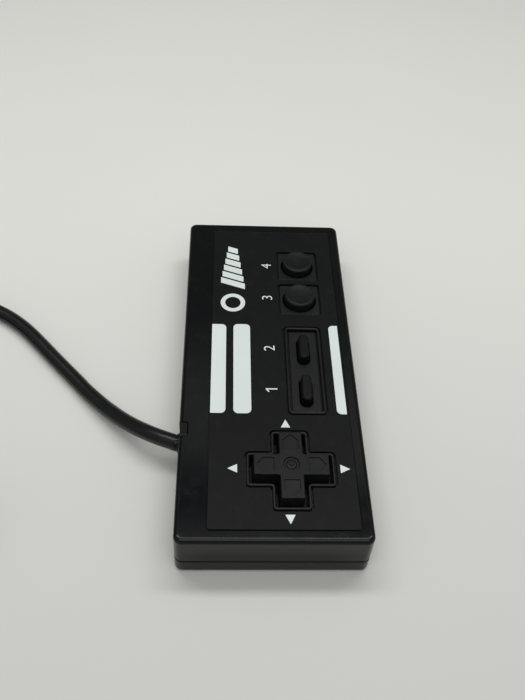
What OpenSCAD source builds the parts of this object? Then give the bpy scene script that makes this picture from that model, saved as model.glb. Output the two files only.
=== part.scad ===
// Wired hand controller: a flat two-shell case with a rocking direction cross, two round
// action buttons, two rubber keys, a circuit board on silicone mats, and a moulded cord.
// Millimetres. X runs along the case with the direction cross at -X, the cord leaves at +Y,
// and Z = 0 is the face the case rests on. The origin is the middle of that face.

/* [Case] */
// Length of the case
case_l = 126; // [120:0.5:132]
// Width of the case
case_w = 54.2; // [52:0.1:58]
// Height of the top shell's upper face
case_h = 17.3; // [17:0.1:18.5]
// Height of the line where the two shells meet
split_z = 6.1; // [5.2:0.1:6.6]
// Radius of the case's upright corners
corner_r = 2.4; // [2.2:0.1:5]
// Radius of the edge round the upper face
top_edge_r = 1.3; // [0.8:0.1:1.8]
// Radius of the edge round the lower face
low_edge_r = 1.6; // [0.8:0.1:2]
// Thickness of the side walls
wall = 2.2; // [1.8:0.1:2.4]
// Thickness of the bottom shell's floor
floor_t = 2; // [1.6:0.1:2.2]
// Height of the underside of the top shell's upper wall
ceiling_z = 15; // [14.8:0.1:15.2]

/* [Faceplate] */
// Thickness of the printed faceplate
plate_t = 0.6; // [0.5:0.1:0.8]
// Depth of the recess that the faceplate lies in
plate_recess = 0.3; // [0.2:0.1:0.4]
// Play between the faceplate and whatever stands inside its openings
plate_gap = 0.3; // [0.2:0.05:0.4]

/* [Direction cross] */
// Span of the cross from tip to tip
cross_span = 21.5; // [21:0.1:22.2]
// Width of each arm
arm_w = 6.8; // [6:0.1:7]
// Height of the cross's upper face
cross_top_z = 20.4; // [19:0.1:21]
// Radius of the flange under the cross
flange_r = 12.9; // [12.7:0.1:13]
// Tilt each way before the flange stops, in degrees
cross_tilt = 5; // [4:0.5:5]
// Radius of the pivot ball
ball_r = 2.2; // [2:0.1:2.3]

/* [Buttons and keys] */
// Radius of each round button
button_r = 5.2; // [4.8:0.1:5.3]
// Height of the buttons' upper faces
button_top_z = 20; // [19:0.1:21]
// Length of each rubber key
key_l = 10.2; // [9:0.1:10.2]
// Width of each rubber key
key_w = 3.5; // [3.4:0.1:4.2]
// Height of the keys' upper faces
key_top_z = 20; // [18.6:0.1:20]

/* [Board] */
// Height of the underside of the circuit board
board_z = 6.2; // [6:0.1:6.4]
// Thickness of the circuit board
board_t = 1.6; // [1.2:0.2:1.6]
// Thickness of the base sheet of each silicone mat
mat_t = 1; // [0.8:0.1:1.2]

/* [Cord] */
// Diameter of the cord
cord_d = 4.9; // [4:0.1:5]
// Radius of the put-away coil, at the middle of its turns
coil_r = 26.9; // [26:0.1:28]
// Number of turns that lie side by side in the coil's lowest layer
coil_row = 5; // [4:1:5]
// Width of the nine-way plug
plug_w = 31; // [30:0.5:33]
// Thickness of the plug
plug_t = 13.5; // [13:0.5:15]
// Length of the plug's moulded body
plug_l = 28; // [26:1:30]

/* [Hidden] */
$fn = 48;
eps = 0.01;

// Places on the upper face, in X and Y
cross_at = [-41, -5.1];
button_y = -11.15;
button_3_x = 25;
button_4_x = 41.1;
key_1_x = -13.6;
key_2_x = 2.6;
key_bed_x = -4.9;
plate_x = [-59.4, 58.4];
plate_y = [-23.4, 18.2];
exit_x = -27.5;
exit_z = 9.6;

// Sizes of what stands in the faceplate's openings
cross_rim_span = 25.3;
cross_rim_arm = 10.8;
rim_w = 0.9;
bed_l = 34.3;
bed_w = 11.5;
button_pad_w = 13.2;
rim_top_z = 17.8;
pad_top_z = 17.15;
bed_floor_z = 16.8;

// Clearances of the moving pieces
button_play = 0.4;
key_play = 0.3;
rest_gap = 0.3;

// Heights inside the case
plate_low_z = case_h - plate_recess;
flange_t = 1.1;
// The flange just clears the ceiling when the cross is tipped towards a diagonal
flange_z = ceiling_z - flange_t - flange_r * sin(sqrt(2) * cross_tilt) - 0.2;
board_top_z = board_z + board_t;
mat_top_z = board_top_z + mat_t;
dome_top_z = flange_z - 0.1;
guard_z = flange_z + flange_t + rest_gap;
pivot_z = 10.6;
groove = 0.35;

// Case screws stand in six bosses, and the board hangs between them
boss_at = [[-57, 21], [-57, -21], [8, 21.2], [8, -21.2], [57, 21], [57, -21]];
boss_r = 2.9;
boss_meet_z = 8.6;
screw_r = 1.2;
screw_head_r = 2.3;
screw_head_z = 2.4;
board_screw_at = [[-16, 12], [36, 12]];
board_x = [-53, 52];
board_y = [-20.5, 16];

// Contacts under the cross, buttons and keys
dome_reach = 7.6;
contact_r = 1.7;
contact_t = 0.6;
cross_dome_at = [for (a = [0:90:270]) cross_at + dome_reach * [cos(a), sin(a)]];
button_dome_at = [[button_3_x, button_y], [button_4_x, button_y]];
key_dome_at = [[key_1_x, button_y], [key_2_x, button_y]];
cross_contact_z = board_top_z + 0.9;
press_contact_z = board_top_z + 1.8;

// Cord, as it lies: out of the case, down to the table, and into the coil
cord_r = cord_d / 2;
collar_y = case_w / 2 + 0.85;
coil_at = [0, 139];
coil_half_w = coil_row * cord_r;
coil_h = cord_d * (1 + sqrt(3) / 2);
plug_x = -52;
boot_y = [118, 134];
plug_mid_z = plug_t / 2;
run_route = [
    [exit_x, collar_y, exit_z], [-26.7, 29.8, 9.5], [-25.75, 32, 9.3], [-24.55, 34.3, 8.9],
    [-23.05, 36.8, 8.3], [-21.25, 39.4, 7.5], [-19.2, 42.1, 6.6], [-16.6, 45.2, 5.6],
    [-13.8, 48.3, 4.7], [-10.5, 51.7, 3.8], [-7, 55.1, 3.2], [-3.2, 58.7, 2.7],
    [0.8, 62.2, 2.5], [4.8, 65.9, cord_r], [8.8, 69.6, cord_r], [13, 73.4, cord_r],
    [17.3, 77.3, cord_r], [21.5, 81.3, cord_r], [25.2, 85.4, cord_r], [28.2, 89.4, cord_r],
    [30.7, 93.5, cord_r], [33, 97.8, cord_r], [35, 102.3, cord_r], [36.9, 107.2, cord_r],
    [38.4, 112.4, cord_r], [39.3, 117.6, cord_r], [39.7, 123, cord_r], [39.7, 128.4, cord_r],
    [39.3, 133.6, cord_r], [38.3, 138.6, cord_r]
];
tail_route = [
    [-12, 172.6, 7.4], [-18, 172.7, 7.2], [-24, 172.6, 6.2], [-30, 172, 4.9], [-35.4, 170.4, 3.7],
    [-40.2, 167.8, 2.8], [-44.4, 164.2, 2.5], [-47.8, 159.6, 2.5], [-50.2, 154.4, 2.95],
    [-51.5, 149, 4], [-52, 143.6, 5.3], [-52, 138.6, 6.4], [plug_x, boot_y[1], plug_mid_z]
];
wire_count = 5;
wire_pitch = 2;
wire_r = 0.5;
header_at = [exit_x, 12.5];

// ---- shapes that repeat ----

// A rectangle with round corners, centred
module round_rect(l, w, r) {
    square([l, w - 2 * r], center = true);
    square([l - 2 * r, w], center = true);
    for (x = [-1, 1], y = [-1, 1]) translate([x * (l / 2 - r), y * (w / 2 - r)]) circle(r);
}

// A prism on a round-cornered rectangle, between two heights
module round_prism(l, w, r, z0, z1) {
    translate([0, 0, z0]) linear_extrude(z1 - z0) round_rect(l, w, r);
}

// A prism with round ends, along X
module slot_prism(l, w, z0, z1) {
    translate([0, 0, z0]) linear_extrude(z1 - z0) {
        square([l - w, w], center = true);
        for (x = [-1, 1]) translate([x * (l - w) / 2, 0]) circle(w / 2);
    }
}

// A plus-shaped prism
module cross_prism(span, arm, z0, z1) {
    translate([0, 0, z0]) linear_extrude(z1 - z0) {
        square([span, arm], center = true);
        square([arm, span], center = true);
    }
}

// A block between two corners
module block(lo, hi) {
    translate(lo) cube(hi - lo);
}

module post(at, r, z0, z1) {
    translate([at[0], at[1], z0]) cylinder(r = r, h = z1 - z0);
}

// The case's outer form with one softened edge, at edge_z; the other end is cut square
module case_form(square_z, edge_z, edge_r) {
    inward = edge_z > square_z ? -edge_r : edge_r;
    hull() for (x = [-1, 1], y = [-1, 1])
        translate([x * (case_l / 2 - corner_r), y * (case_w / 2 - corner_r), 0]) {
            translate([0, 0, square_z]) cylinder(r = corner_r, h = eps, $fn = 40);
            translate([0, 0, edge_z + inward]) rotate_extrude($fn = 40) intersection() {
                translate([corner_r - edge_r, 0]) circle(edge_r, $fn = 24);
                translate([0, -edge_r]) square([corner_r, 2 * edge_r]);
            }
        }
}

// The step that leaves a fine dark line where the shells meet
module parting_groove(z0, z1) {
    difference() {
        round_prism(case_l + 2, case_w + 2, corner_r, z0, z1);
        round_prism(case_l - 2 * groove, case_w - 2 * groove, corner_r - groove, z0 - 1, z1 + 1);
    }
}

// The pocket that the faceplate lies in, with its openings left standing
module plate_outline(grow) {
    size = [plate_x[1] - plate_x[0], plate_y[1] - plate_y[0]];
    translate([plate_x[0] + plate_x[1], plate_y[0] + plate_y[1]] / 2)
        round_rect(size[0] + 2 * grow, size[1] + 2 * grow, 0.8);
}

// A screw that points up, with a cross slot in its head
module screw(r, head_r, head_t, length) {
    difference() {
        union() {
            translate([0, 0, -head_t]) cylinder(r = head_r, h = head_t);
            cylinder(r = r, h = length);
        }
        for (a = [0, 90]) rotate(a) translate([0, 0, -head_t])
            cube([head_r * 1.1, 0.5, 1.2], center = true);
    }
}

// Unit vectors and a round tube swept along a list of points
function unit(v) = v / norm(v);
function heading(p, i) = unit(p[min(i + 1, len(p) - 1)] - p[max(i - 1, 0)]);
module tube(p, r, sides, first = undef, last = undef) {
    count = len(p);
    rings = [for (i = [0:count - 1])
        let (t = i == 0 && first != undef ? first : i == count - 1 && last != undef ? last : heading(p, i),
             side = unit(cross(t, [0, 0, 1])), up = cross(side, t))
        for (k = [0:sides - 1]) p[i] + r * (cos(360 * k / sides) * side + sin(360 * k / sides) * up)];
    ends = [[for (k = [0:sides - 1]) k], [for (k = [sides - 1:-1:0]) (count - 1) * sides + k]];
    skin = [for (i = [0:count - 2], k = [0:sides - 1])
        let (a = i * sides + k, b = i * sides + (k + 1) % sides)
        [a, a + sides, b + sides, b]];
    polyhedron(rings, concat(ends, skin));
}

// ---- case ----

module bottom_shell() color("#16191d") {
    inner_l = case_l - 2 * wall;
    inner_w = case_w - 2 * wall;
    difference() {
        union() {
            difference() {
                case_form(split_z, 0, low_edge_r);
                round_prism(inner_l, inner_w, corner_r - wall + 0.6, floor_t, case_h);
                parting_groove(split_z - 0.25, split_z + 1);
            }
            difference() {
                union() {
                    round_prism(inner_l - 0.3, inner_w - 0.3, 1.2, split_z - 1, split_z + 1.4);
                    round_prism(inner_l + 1, inner_w + 1, 1.2, split_z - 1, split_z);
                }
                round_prism(inner_l - 2.3, inner_w - 2.3, 0.8, 0, case_h);
                block([exit_x - 6, case_w / 2 - 6, split_z], [exit_x + 6, case_w / 2, case_h]);
            }
            for (p = boss_at) {
                post(p, boss_r, floor_t - eps, boss_meet_z);
                post(p, boss_r + 0.7, floor_t - eps, screw_head_z + 1);
            }
            for (p = board_screw_at) post(p, 2.2, floor_t - eps, board_z);
            for (x = [-48, -30, 20, 48], y = [-17, 4]) post([x, y], 1.4, floor_t - eps, board_z);
            post(cross_at, 3.4, floor_t - eps, pivot_z - 0.6);
            block([exit_x - 6, 18, floor_t - eps], [exit_x + 6, 22, exit_z - 0.1]);
        }
        for (p = boss_at) {
            post(p, screw_head_r + 0.3, -1, screw_head_z);
            post(p, screw_r + 0.3, 0, boss_meet_z + 1);
        }
        for (p = board_screw_at) post(p, 0.9, floor_t + 0.6, board_z + 1);
        translate([cross_at[0], cross_at[1], pivot_z]) sphere(ball_r + rest_gap);
        translate([exit_x, 17, exit_z]) rotate([-90, 0, 0]) cylinder(r = cord_r, h = 6);
        for (s = [-1, 1]) post([exit_x + s * 4.3, 20], 0.7, floor_t + 1, exit_z + 1);
    }
}

module top_shell() color("#15181c") {
    difference() {
        union() {
            difference() {
                case_form(split_z, case_h, top_edge_r);
                round_prism(case_l - 2 * wall, case_w - 2 * wall, corner_r - wall + 0.6, 0, ceiling_z);
                parting_groove(split_z - 1, split_z + 0.25);
                translate([0, 0, plate_low_z]) linear_extrude(2) plate_outline(0.15);
            }
            for (p = boss_at) post(p, boss_r, boss_meet_z, ceiling_z + eps);
            translate([cross_at[0], cross_at[1], 0])
                cross_prism(cross_rim_span, cross_rim_arm, ceiling_z, rim_top_z);
            translate([key_bed_x, button_y, 0]) round_prism(bed_l, bed_w, 1.4, ceiling_z, rim_top_z);
            for (x = [button_3_x, button_4_x]) {
                translate([x, button_y, 0])
                    round_prism(button_pad_w, button_pad_w, 0.4, ceiling_z, pad_top_z);
                post([x, button_y], button_r + button_play + 1.2, guard_z, ceiling_z + eps);
            }
            for (x = [key_1_x, key_2_x]) translate([x, button_y, 0])
                slot_prism(key_l + 2 * key_play + 2, key_w + 2 * key_play + 2, guard_z, ceiling_z + eps);
        }
        for (p = boss_at) post(p, screw_r - 0.1, 0, ceiling_z - 1);
        translate([cross_at[0], cross_at[1], 0])
            cross_prism(cross_rim_span - 2 * rim_w, cross_rim_arm - 2 * rim_w, 0, case_h + 2);
        translate([key_bed_x, button_y, 0])
            round_prism(bed_l - 2 * rim_w, bed_w - 2 * rim_w, 0.6, bed_floor_z, case_h + 2);
        for (x = [button_3_x, button_4_x]) post([x, button_y], button_r + button_play, 0, case_h + 2);
        for (x = [key_1_x, key_2_x]) translate([x, button_y, 0])
            slot_prism(key_l + 2 * key_play, key_w + 2 * key_play, 0, case_h + 2);
        block([exit_x - 3.8, case_w / 2 - 3, 0], [exit_x + 3.8, case_w / 2 + 1, 13.4]);
        block([exit_x - 2.5, case_w / 2 - 2.75, 0], [exit_x + 2.5, case_w / 2 + 1, case_h + 1]);
    }
}

module faceplate() color("#212321") {
    translate([0, 0, plate_low_z]) linear_extrude(plate_t) difference() {
        plate_outline(0);
        translate(cross_at) {
            square([cross_rim_span + 2 * plate_gap, cross_rim_arm + 2 * plate_gap], center = true);
            square([cross_rim_arm + 2 * plate_gap, cross_rim_span + 2 * plate_gap], center = true);
        }
        translate([key_bed_x, button_y]) round_rect(bed_l + 2 * plate_gap, bed_w + 2 * plate_gap, 1.6);
        for (x = [button_3_x, button_4_x]) translate([x, button_y])
            round_rect(button_pad_w + 2 * plate_gap, button_pad_w + 2 * plate_gap, 0.5);
    }
}

module case_screws() color("#8d9094") {
    for (p = boss_at) translate([p[0], p[1], screw_head_z]) screw(screw_r, screw_head_r, 1.5, 10);
}

// ---- direction cross ----

// An arrow outline with a square tail, pointing along +X
module arrow_outline() {
    polygon([[4.9, -2.2], [8, -2.2], [9.9, 0], [8, 2.2], [4.9, 2.2]]);
}

module cross_pad() color("#1d2021") {
    dish_r = 3.8;
    translate([cross_at[0], cross_at[1], 0]) difference() {
        union() {
            cross_prism(cross_span, arm_w, flange_z, cross_top_z);
            post([0, 0], flange_r, flange_z, flange_z + flange_t);
            post([0, 0], 3.7, pivot_z + 0.2, flange_z + eps);
        }
        for (a = [0:90:270]) rotate(a) translate([0, 0, cross_top_z - 0.35])
            linear_extrude(1) arrow_outline();
        translate([0, 0, cross_top_z - 0.7 + dish_r]) sphere(dish_r);
        translate([0, 0, pivot_z]) sphere(ball_r + rest_gap);
    }
}

module cross_contacts() color("#101010") {
    for (p = cross_dome_at) {
        post(p, contact_r, cross_contact_z, cross_contact_z + contact_t);
    }
}

module pivot_ball() color("#d9d7cf") {
    translate([cross_at[0], cross_at[1], pivot_z]) sphere(ball_r);
}

// A silicone dome, hollow below, with a flat crown
module dome(at, contact_z) {
    translate([at[0], at[1], 0]) difference() {
        translate([0, 0, mat_top_z - eps]) cylinder(r1 = 3.3, r2 = 2.4, h = dome_top_z - mat_top_z + eps);
        post([0, 0], contact_r + 0.3, 0, contact_z + contact_t);
    }
}

// The hole through a mat's base sheet under a dome
module dome_hole(at) {
    post(at, contact_r + 0.3, 0, mat_top_z + eps);
}

module cross_mat() color("#b9bcb8") {
    difference() {
        translate([cross_at[0], cross_at[1], 0]) round_prism(23.6, 23.6, 3, board_top_z, mat_top_z);
        post(cross_at, 4, 0, case_h);
        for (p = cross_dome_at) dome_hole(p);
    }
    for (p = cross_dome_at) dome(p, cross_contact_z);
}

// ---- buttons and keys ----

module round_button(x) {
    edge = 0.8;
    translate([x, button_y, 0]) rotate_extrude() union() {
        translate([0, flange_z]) square([button_r, button_top_z - edge - flange_z]);
        translate([0, flange_z]) square([button_r + 1.3, flange_t]);
        translate([0, button_top_z - 2 * edge]) square([button_r - edge, 2 * edge]);
        translate([button_r - edge, button_top_z - edge]) circle(edge, $fn = 32);
    }
}

module button_3() color("#1b1d1f") round_button(button_3_x);
module button_4() color("#1b1d1f") round_button(button_4_x);

module press_contact(x) {
    post([x, button_y], contact_r, press_contact_z, press_contact_z + contact_t);
}

module button_3_contact() color("#101010") press_contact(button_3_x);
module button_4_contact() color("#101010") press_contact(button_4_x);

module rubber_key(x) {
    translate([x, button_y, 0]) {
        slot_prism(key_l, key_w, flange_z, key_top_z - 0.6);
        slot_prism(key_l - 0.6, key_w - 0.6, flange_z, key_top_z);
        slot_prism(key_l + 2.4, key_w + 2.4, flange_z, flange_z + flange_t);
    }
}

module key_1() color("#12161a") rubber_key(key_1_x);
module key_2() color("#12161a") rubber_key(key_2_x);
module key_1_contact() color("#101010") press_contact(key_1_x);
module key_2_contact() color("#101010") press_contact(key_2_x);

// A mat with two domes, on a base sheet of the given size
module two_dome_mat(at, l, w) {
    difference() {
        translate([(at[0][0] + at[1][0]) / 2, at[0][1], 0]) round_prism(l, w, 2, board_top_z, mat_top_z);
        for (p = at) dome_hole(p);
    }
    for (p = at) dome(p, press_contact_z);
}

module button_mat() color("#b9bcb8") two_dome_mat(button_dome_at, 30, 13);
module key_mat() color("#b9bcb8") two_dome_mat(key_dome_at, 27, 10);

// ---- board ----

module circuit_board() color("#2d5f3a") {
    difference() {
        block([board_x[0], board_y[0], board_z], [board_x[1], board_y[1], board_top_z]);
        for (p = boss_at) post(p, boss_r + 0.6, 0, case_h);
        for (p = board_screw_at) post(p, 1.2, 0, case_h);
        post(cross_at, 3.9, 0, case_h);
    }
}

module board_screws() color("#8d9094") {
    for (p = board_screw_at) translate([p[0], p[1], board_top_z]) mirror([0, 0, 1]) screw(1, 1.9, 1.2, 5);
}

// Two comb halves of carbon print under each contact
module contact_pads() color("#262422") {
    for (p = concat(cross_dome_at, button_dome_at, key_dome_at)) difference() {
        post(p, contact_r + 0.2, board_top_z, board_top_z + 0.08);
        translate([p[0], p[1], board_top_z]) cube([5, 0.4, 1], center = true);
    }
}

module encoder_chip() color("#232425") {
    at = [22, 6, board_top_z];
    leg_pitch = 1.27;
    translate(at) {
        translate([0, 0, 1.1]) cube([10, 4, 1.6], center = true);
        for (k = [0:7], s = [-1, 1])
            translate([(k - 3.5) * leg_pitch, s * 2.55, 0.25]) cube([0.45, 1.2, 0.5], center = true);
        for (k = [0:7], s = [-1, 1])
            translate([(k - 3.5) * leg_pitch, s * 2.05, 0.7]) cube([0.45, 0.2, 0.6], center = true);
    }
}

module resistors() color("#c8a877") {
    for (k = [0:5]) translate([-6 + 3.2 * k, 6, board_top_z + 1]) rotate([-90, 0, 0]) {
        cylinder(r = 1, h = 4, center = true);
        for (s = [-1, 1]) translate([0, 0.5, s * 2.6]) cube([0.5, 1, 0.5], center = true);
        for (s = [-1, 1]) translate([0, 0, s * 2.4]) cylinder(r = 0.3, h = 1, center = true);
    }
}

module capacitor() color("#22303f") {
    post([36, 4.5], 2.2, board_top_z, board_top_z + 5);
}

module wire_header() color("#e4e0d4") {
    difference() {
        translate([header_at[0], header_at[1], board_top_z + 1.5]) cube([11.5, 3.4, 3], center = true);
        for (k = [0:wire_count - 1])
            post([header_at[0] + (k - 2) * wire_pitch, header_at[1]], wire_r, board_top_z + 1, case_h);
    }
}

// Insulated leads from the end of the cord's jacket to the header
module lead_wires() color("#a03a34") {
    spread = 0.85;
    for (k = [0:wire_count - 1]) {
        from = [exit_x + (k - 2) * spread, 16.4, exit_z];
        to_x = header_at[0] + (k - 2) * wire_pitch;
        tube([from, from + [0, -0.8, 0.4], [(from[0] + to_x) / 2, 14.8, exit_z + 1.7],
              [to_x, 13.5, exit_z + 2.3], [to_x, 12.75, exit_z + 2], [to_x, header_at[1], exit_z + 1.2]],
             0.4, 8, first = [0, -1, 0]);
    }
}

// ---- cord ----

// The moulded block that fills the notch in the top shell, with the jacket's end inside
module cord_grommet() color("#141517") {
    outer_y = case_w / 2;
    block([exit_x - 3.6, outer_y - wall - eps, split_z + 0.3], [exit_x + 3.6, outer_y - 0.1, 13.2]);
    block([exit_x - 2.3, outer_y - 2.55, 13], [exit_x + 2.3, outer_y - 0.25, case_h - 0.1]);
    block([exit_x - 5, outer_y - wall - 1.4, split_z + 0.3], [exit_x + 5, outer_y - wall - 0.1, 14.2]);
    translate([exit_x, 16.4, exit_z]) rotate([-90, 0, 0]) cylinder(r = cord_r, h = outer_y - 16.4);
    translate([exit_x, outer_y - 0.2, exit_z]) rotate([-90, 0, 0])
        cylinder(r1 = 2.95, r2 = 2.7, h = collar_y - outer_y + 0.2);
}

module cord_clamp() color("#d8d4c6") {
    difference() {
        block([exit_x - 6, 18, exit_z + 0.1], [exit_x + 6, 22, 13]);
        translate([exit_x, 17, exit_z]) rotate([-90, 0, 0]) cylinder(r = cord_r, h = 6);
        for (s = [-1, 1]) post([exit_x + s * 4.3, 20], 1, 0, case_h);
    }
}

module clamp_screws() color("#8d9094") {
    for (s = [-1, 1]) translate([exit_x + s * 4.3, 20, 13]) mirror([0, 0, 1]) screw(0.8, 1.6, 1, 8);
}

module cord_run() color("#141517") tube(run_route, cord_r, 10, first = [0, 1, 0]);

module cord_coil() color("#141517") {
    corner = 2.4;
    translate([coil_at[0], coil_at[1], 0]) rotate_extrude($fn = 72)
        translate([coil_r, coil_h / 2]) round_rect(2 * coil_half_w, coil_h, corner);
}

// A flat band round the bundle of turns, a little tighter than the soft cord
module coil_tie() color("#1d1e20") {
    tie_w = 5;
    tie_t = 0.6;
    out = coil_half_w + tie_t;
    translate([coil_at[0], coil_at[1], 0]) rotate(215) translate([coil_r, 0, 0]) difference() {
        block([-out, -tie_w / 2, 0], [out, tie_w / 2, coil_h + tie_t]);
        block([-coil_half_w, -tie_w, tie_t], [coil_half_w, tie_w, coil_h]);
    }
}

module cord_tail() color("#141517") tube(tail_route, cord_r, 10, last = [0, -1, 0]);

// The boot's ribs get smaller away from the plug
module plug_boot() color("#161719") {
    ribs = 5;
    pitch = (boot_y[1] - boot_y[0] - 1) / ribs;
    translate([plug_x, boot_y[0], plug_mid_z]) rotate([-90, 0, 0]) {
        cylinder(r1 = 4.2, r2 = 2.9, h = boot_y[1] - boot_y[0]);
        for (k = [0:ribs - 1]) translate([0, 0, k * pitch])
            cylinder(r = 5.2 - 0.4 * k, h = pitch * 0.6);
    }
}

module plug_body() color("#17181a") {
    front_y = boot_y[0] - plug_l;
    translate([plug_x, 0, plug_mid_z]) difference() {
        union() {
            translate([0, boot_y[0], 0]) rotate([90, 0, 0])
                linear_extrude(plug_l - 6) round_rect(24, plug_t - 2, 3);
            translate([0, front_y + 17, 0]) rotate([90, 0, 0])
                linear_extrude(17) round_rect(plug_w, plug_t, 3);
        }
        for (k = [0:3], s = [-1, 1]) translate([s * plug_w / 2, front_y + 5 + 2.6 * k, 0])
            cube([1.2, 1.2, plug_t - 5], center = true);
        translate([0, front_y + 2, 0]) rotate([90, 0, 0]) linear_extrude(3) round_rect(18, 9.4, 2.4);
    }
}

// The D-shaped outline of the nine-way connector, wide side down
module d_outline(w, h) {
    slope = h * tan(10);
    r = 1.8;
    hull() for (s = [-1, 1]) {
        translate([s * (w / 2 - r), -h / 2 + r]) circle(r, $fn = 24);
        translate([s * (w / 2 - slope - r), h / 2 - r]) circle(r, $fn = 24);
    }
}

module plug_flange() color("#b9bcc0") {
    front_y = boot_y[0] - plug_l;
    translate([plug_x, front_y, plug_mid_z]) rotate([90, 0, 0]) {
        translate([0, 0, -2]) linear_extrude(2.6) difference() {
            round_rect(17.8, 9.2, 2.3);
            d_outline(15.7, 7.3);
        }
        linear_extrude(6) difference() {
            d_outline(16.7, 8.3);
            d_outline(15.7, 7.3);
        }
    }
}

// Pin places: five in the lower row, four in the upper
function pin_places() = [for (row = [0, 1], k = [0:4 - row])
    [(k - 2 + row / 2) * 2.77, row * 2.84 - 1.42]];

module plug_insulator() color("#101113") {
    front_y = boot_y[0] - plug_l;
    translate([plug_x, front_y, plug_mid_z]) rotate([90, 0, 0]) difference() {
        translate([0, 0, -2]) linear_extrude(7.7) d_outline(15.6, 7.2);
        for (p = pin_places()) translate([p[0], p[1], -1]) cylinder(r = 0.85, h = 9, $fn = 24);
    }
}

module plug_contacts() color("#c9a24a") {
    front_y = boot_y[0] - plug_l;
    translate([plug_x, front_y, plug_mid_z]) rotate([90, 0, 0])
        for (p = pin_places()) translate([p[0], p[1], -1]) difference() {
            cylinder(r = 0.8, h = 6.2, $fn = 24);
            translate([0, 0, 1.5]) cylinder(r = 0.52, h = 6, $fn = 24);
        }
}

bottom_shell();
top_shell();
faceplate();
case_screws();
cross_pad();
cross_contacts();
pivot_ball();
cross_mat();
button_3();
button_3_contact();
button_4();
button_4_contact();
button_mat();
key_1();
key_1_contact();
key_2();
key_2_contact();
key_mat();
circuit_board();
board_screws();
contact_pads();
encoder_chip();
resistors();
capacitor();
wire_header();
lead_wires();
cord_grommet();
cord_clamp();
clamp_screws();
cord_run();
cord_coil();
coil_tie();
cord_tail();
plug_boot();
plug_body();
plug_flange();
plug_insulator();
plug_contacts();
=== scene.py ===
"""Looks of the wired hand controller: mouldings, film, print, rubber, cord and plug.

Pieces are drawn in millimetres in the CAD frame and turned into metres as they are made. Most are
lofts: an outline in X and Y, grown or shrunk along a profile of (grow, height) steps.
"""

from math import atan2, cos, exp, pi, radians, sin, sqrt, tan

import bmesh
import bpy
from mathutils import Matrix, Vector
from mathutils.geometry import tessellate_polygon


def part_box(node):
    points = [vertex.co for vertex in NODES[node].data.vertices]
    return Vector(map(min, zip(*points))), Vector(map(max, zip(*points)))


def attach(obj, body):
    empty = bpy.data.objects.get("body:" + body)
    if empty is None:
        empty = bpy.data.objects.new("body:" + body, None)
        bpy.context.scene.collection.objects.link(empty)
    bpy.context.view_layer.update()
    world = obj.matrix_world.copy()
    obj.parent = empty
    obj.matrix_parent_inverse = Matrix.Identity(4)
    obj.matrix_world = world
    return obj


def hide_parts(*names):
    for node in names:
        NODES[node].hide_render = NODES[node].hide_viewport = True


MM = 0.001
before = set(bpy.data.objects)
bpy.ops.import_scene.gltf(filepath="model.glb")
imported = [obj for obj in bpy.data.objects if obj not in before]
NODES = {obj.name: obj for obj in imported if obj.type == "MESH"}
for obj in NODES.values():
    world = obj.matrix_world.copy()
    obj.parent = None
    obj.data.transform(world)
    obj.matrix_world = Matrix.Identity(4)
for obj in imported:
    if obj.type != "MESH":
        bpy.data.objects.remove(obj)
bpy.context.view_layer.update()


def mm_box(node):
    """Lowest and highest corner of a CAD node, in millimetres."""
    low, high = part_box(node)
    return low / MM, high / MM


def in_scene(name, data):
    """A new object that holds this data, linked to the scene."""
    made = bpy.data.objects.new(name, data)
    bpy.context.collection.objects.link(made)
    return made


# ---- sizes, from the frame where it holds them ----

CASE_LOW, CASE_HIGH = mm_box("top_shell")
CASE_L, CASE_W = 2 * CASE_HIGH.x, 2 * CASE_HIGH.y
SPLIT_Z = CASE_LOW.z
CASE_H = 17.3
WALL, FLOOR_Z, CEILING_Z = 2.2, 2.0, 15.0
CORNER_R = 2.4
GROOVE, GROOVE_HALF = 0.6, 0.3
PLATE_LOW, PLATE_HIGH = mm_box("faceplate")
FLANGE_Z = mm_box("button_3")[0].z
FLANGE_TOP = FLANGE_Z + 1.1
GUARD_Z = FLANGE_TOP + 0.3

CROSS_AT = (-41.0, -5.1)
PIVOT_Z = 10.6
BUTTON_AT = {"button_3": (25.0, -11.15), "button_4": (41.1, -11.15)}
KEY_AT = {"key_1": (-13.6, -11.15), "key_2": (2.6, -11.15)}
KEY_BED_AT = (-4.9, -11.15)
BOSS_AT = [(x, y) for x in (-57, 57) for y in (-21, 21)] + [(8, -21.2), (8, 21.2)]
BOARD_SCREW_AT = [(-16, 12), (36, 12)]
BOARD_REST_AT = [(x, y) for x in (-48, -30, 20, 48) for y in (-17, 4)]
BOARD_Z, BOARD_TOP_Z = 6.2, 7.8
EXIT_X, EXIT_Z = -27.5, 9.6
OUTER_Y = CASE_W / 2

CORD_D = 4.9
CORD_R = CORD_D / 2
COIL_AT = (0.0, 139.0)
PLUG_X, PLUG_MID_Z = -52.0, 6.75
BOOT_Y = (118.0, 134.0)
PLUG_L = 28.0
PLUG_FRONT_Y = BOOT_Y[0] - PLUG_L
PIN_PITCH, PIN_ROW_GAP = 2.77, 2.84
BALL_R = 2.5
HUB_R = 3.7
POST_R, POST_Z = 2.9, 8.6
CLAMP_Y, CLAMP_SCREW_REACH = 20, 4.3
JACKET_END_Y = 16.4
NOTCH_HALF_W, NOTCH_DEPTH = 2.5, 2.75


# ---- camera ----

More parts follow.
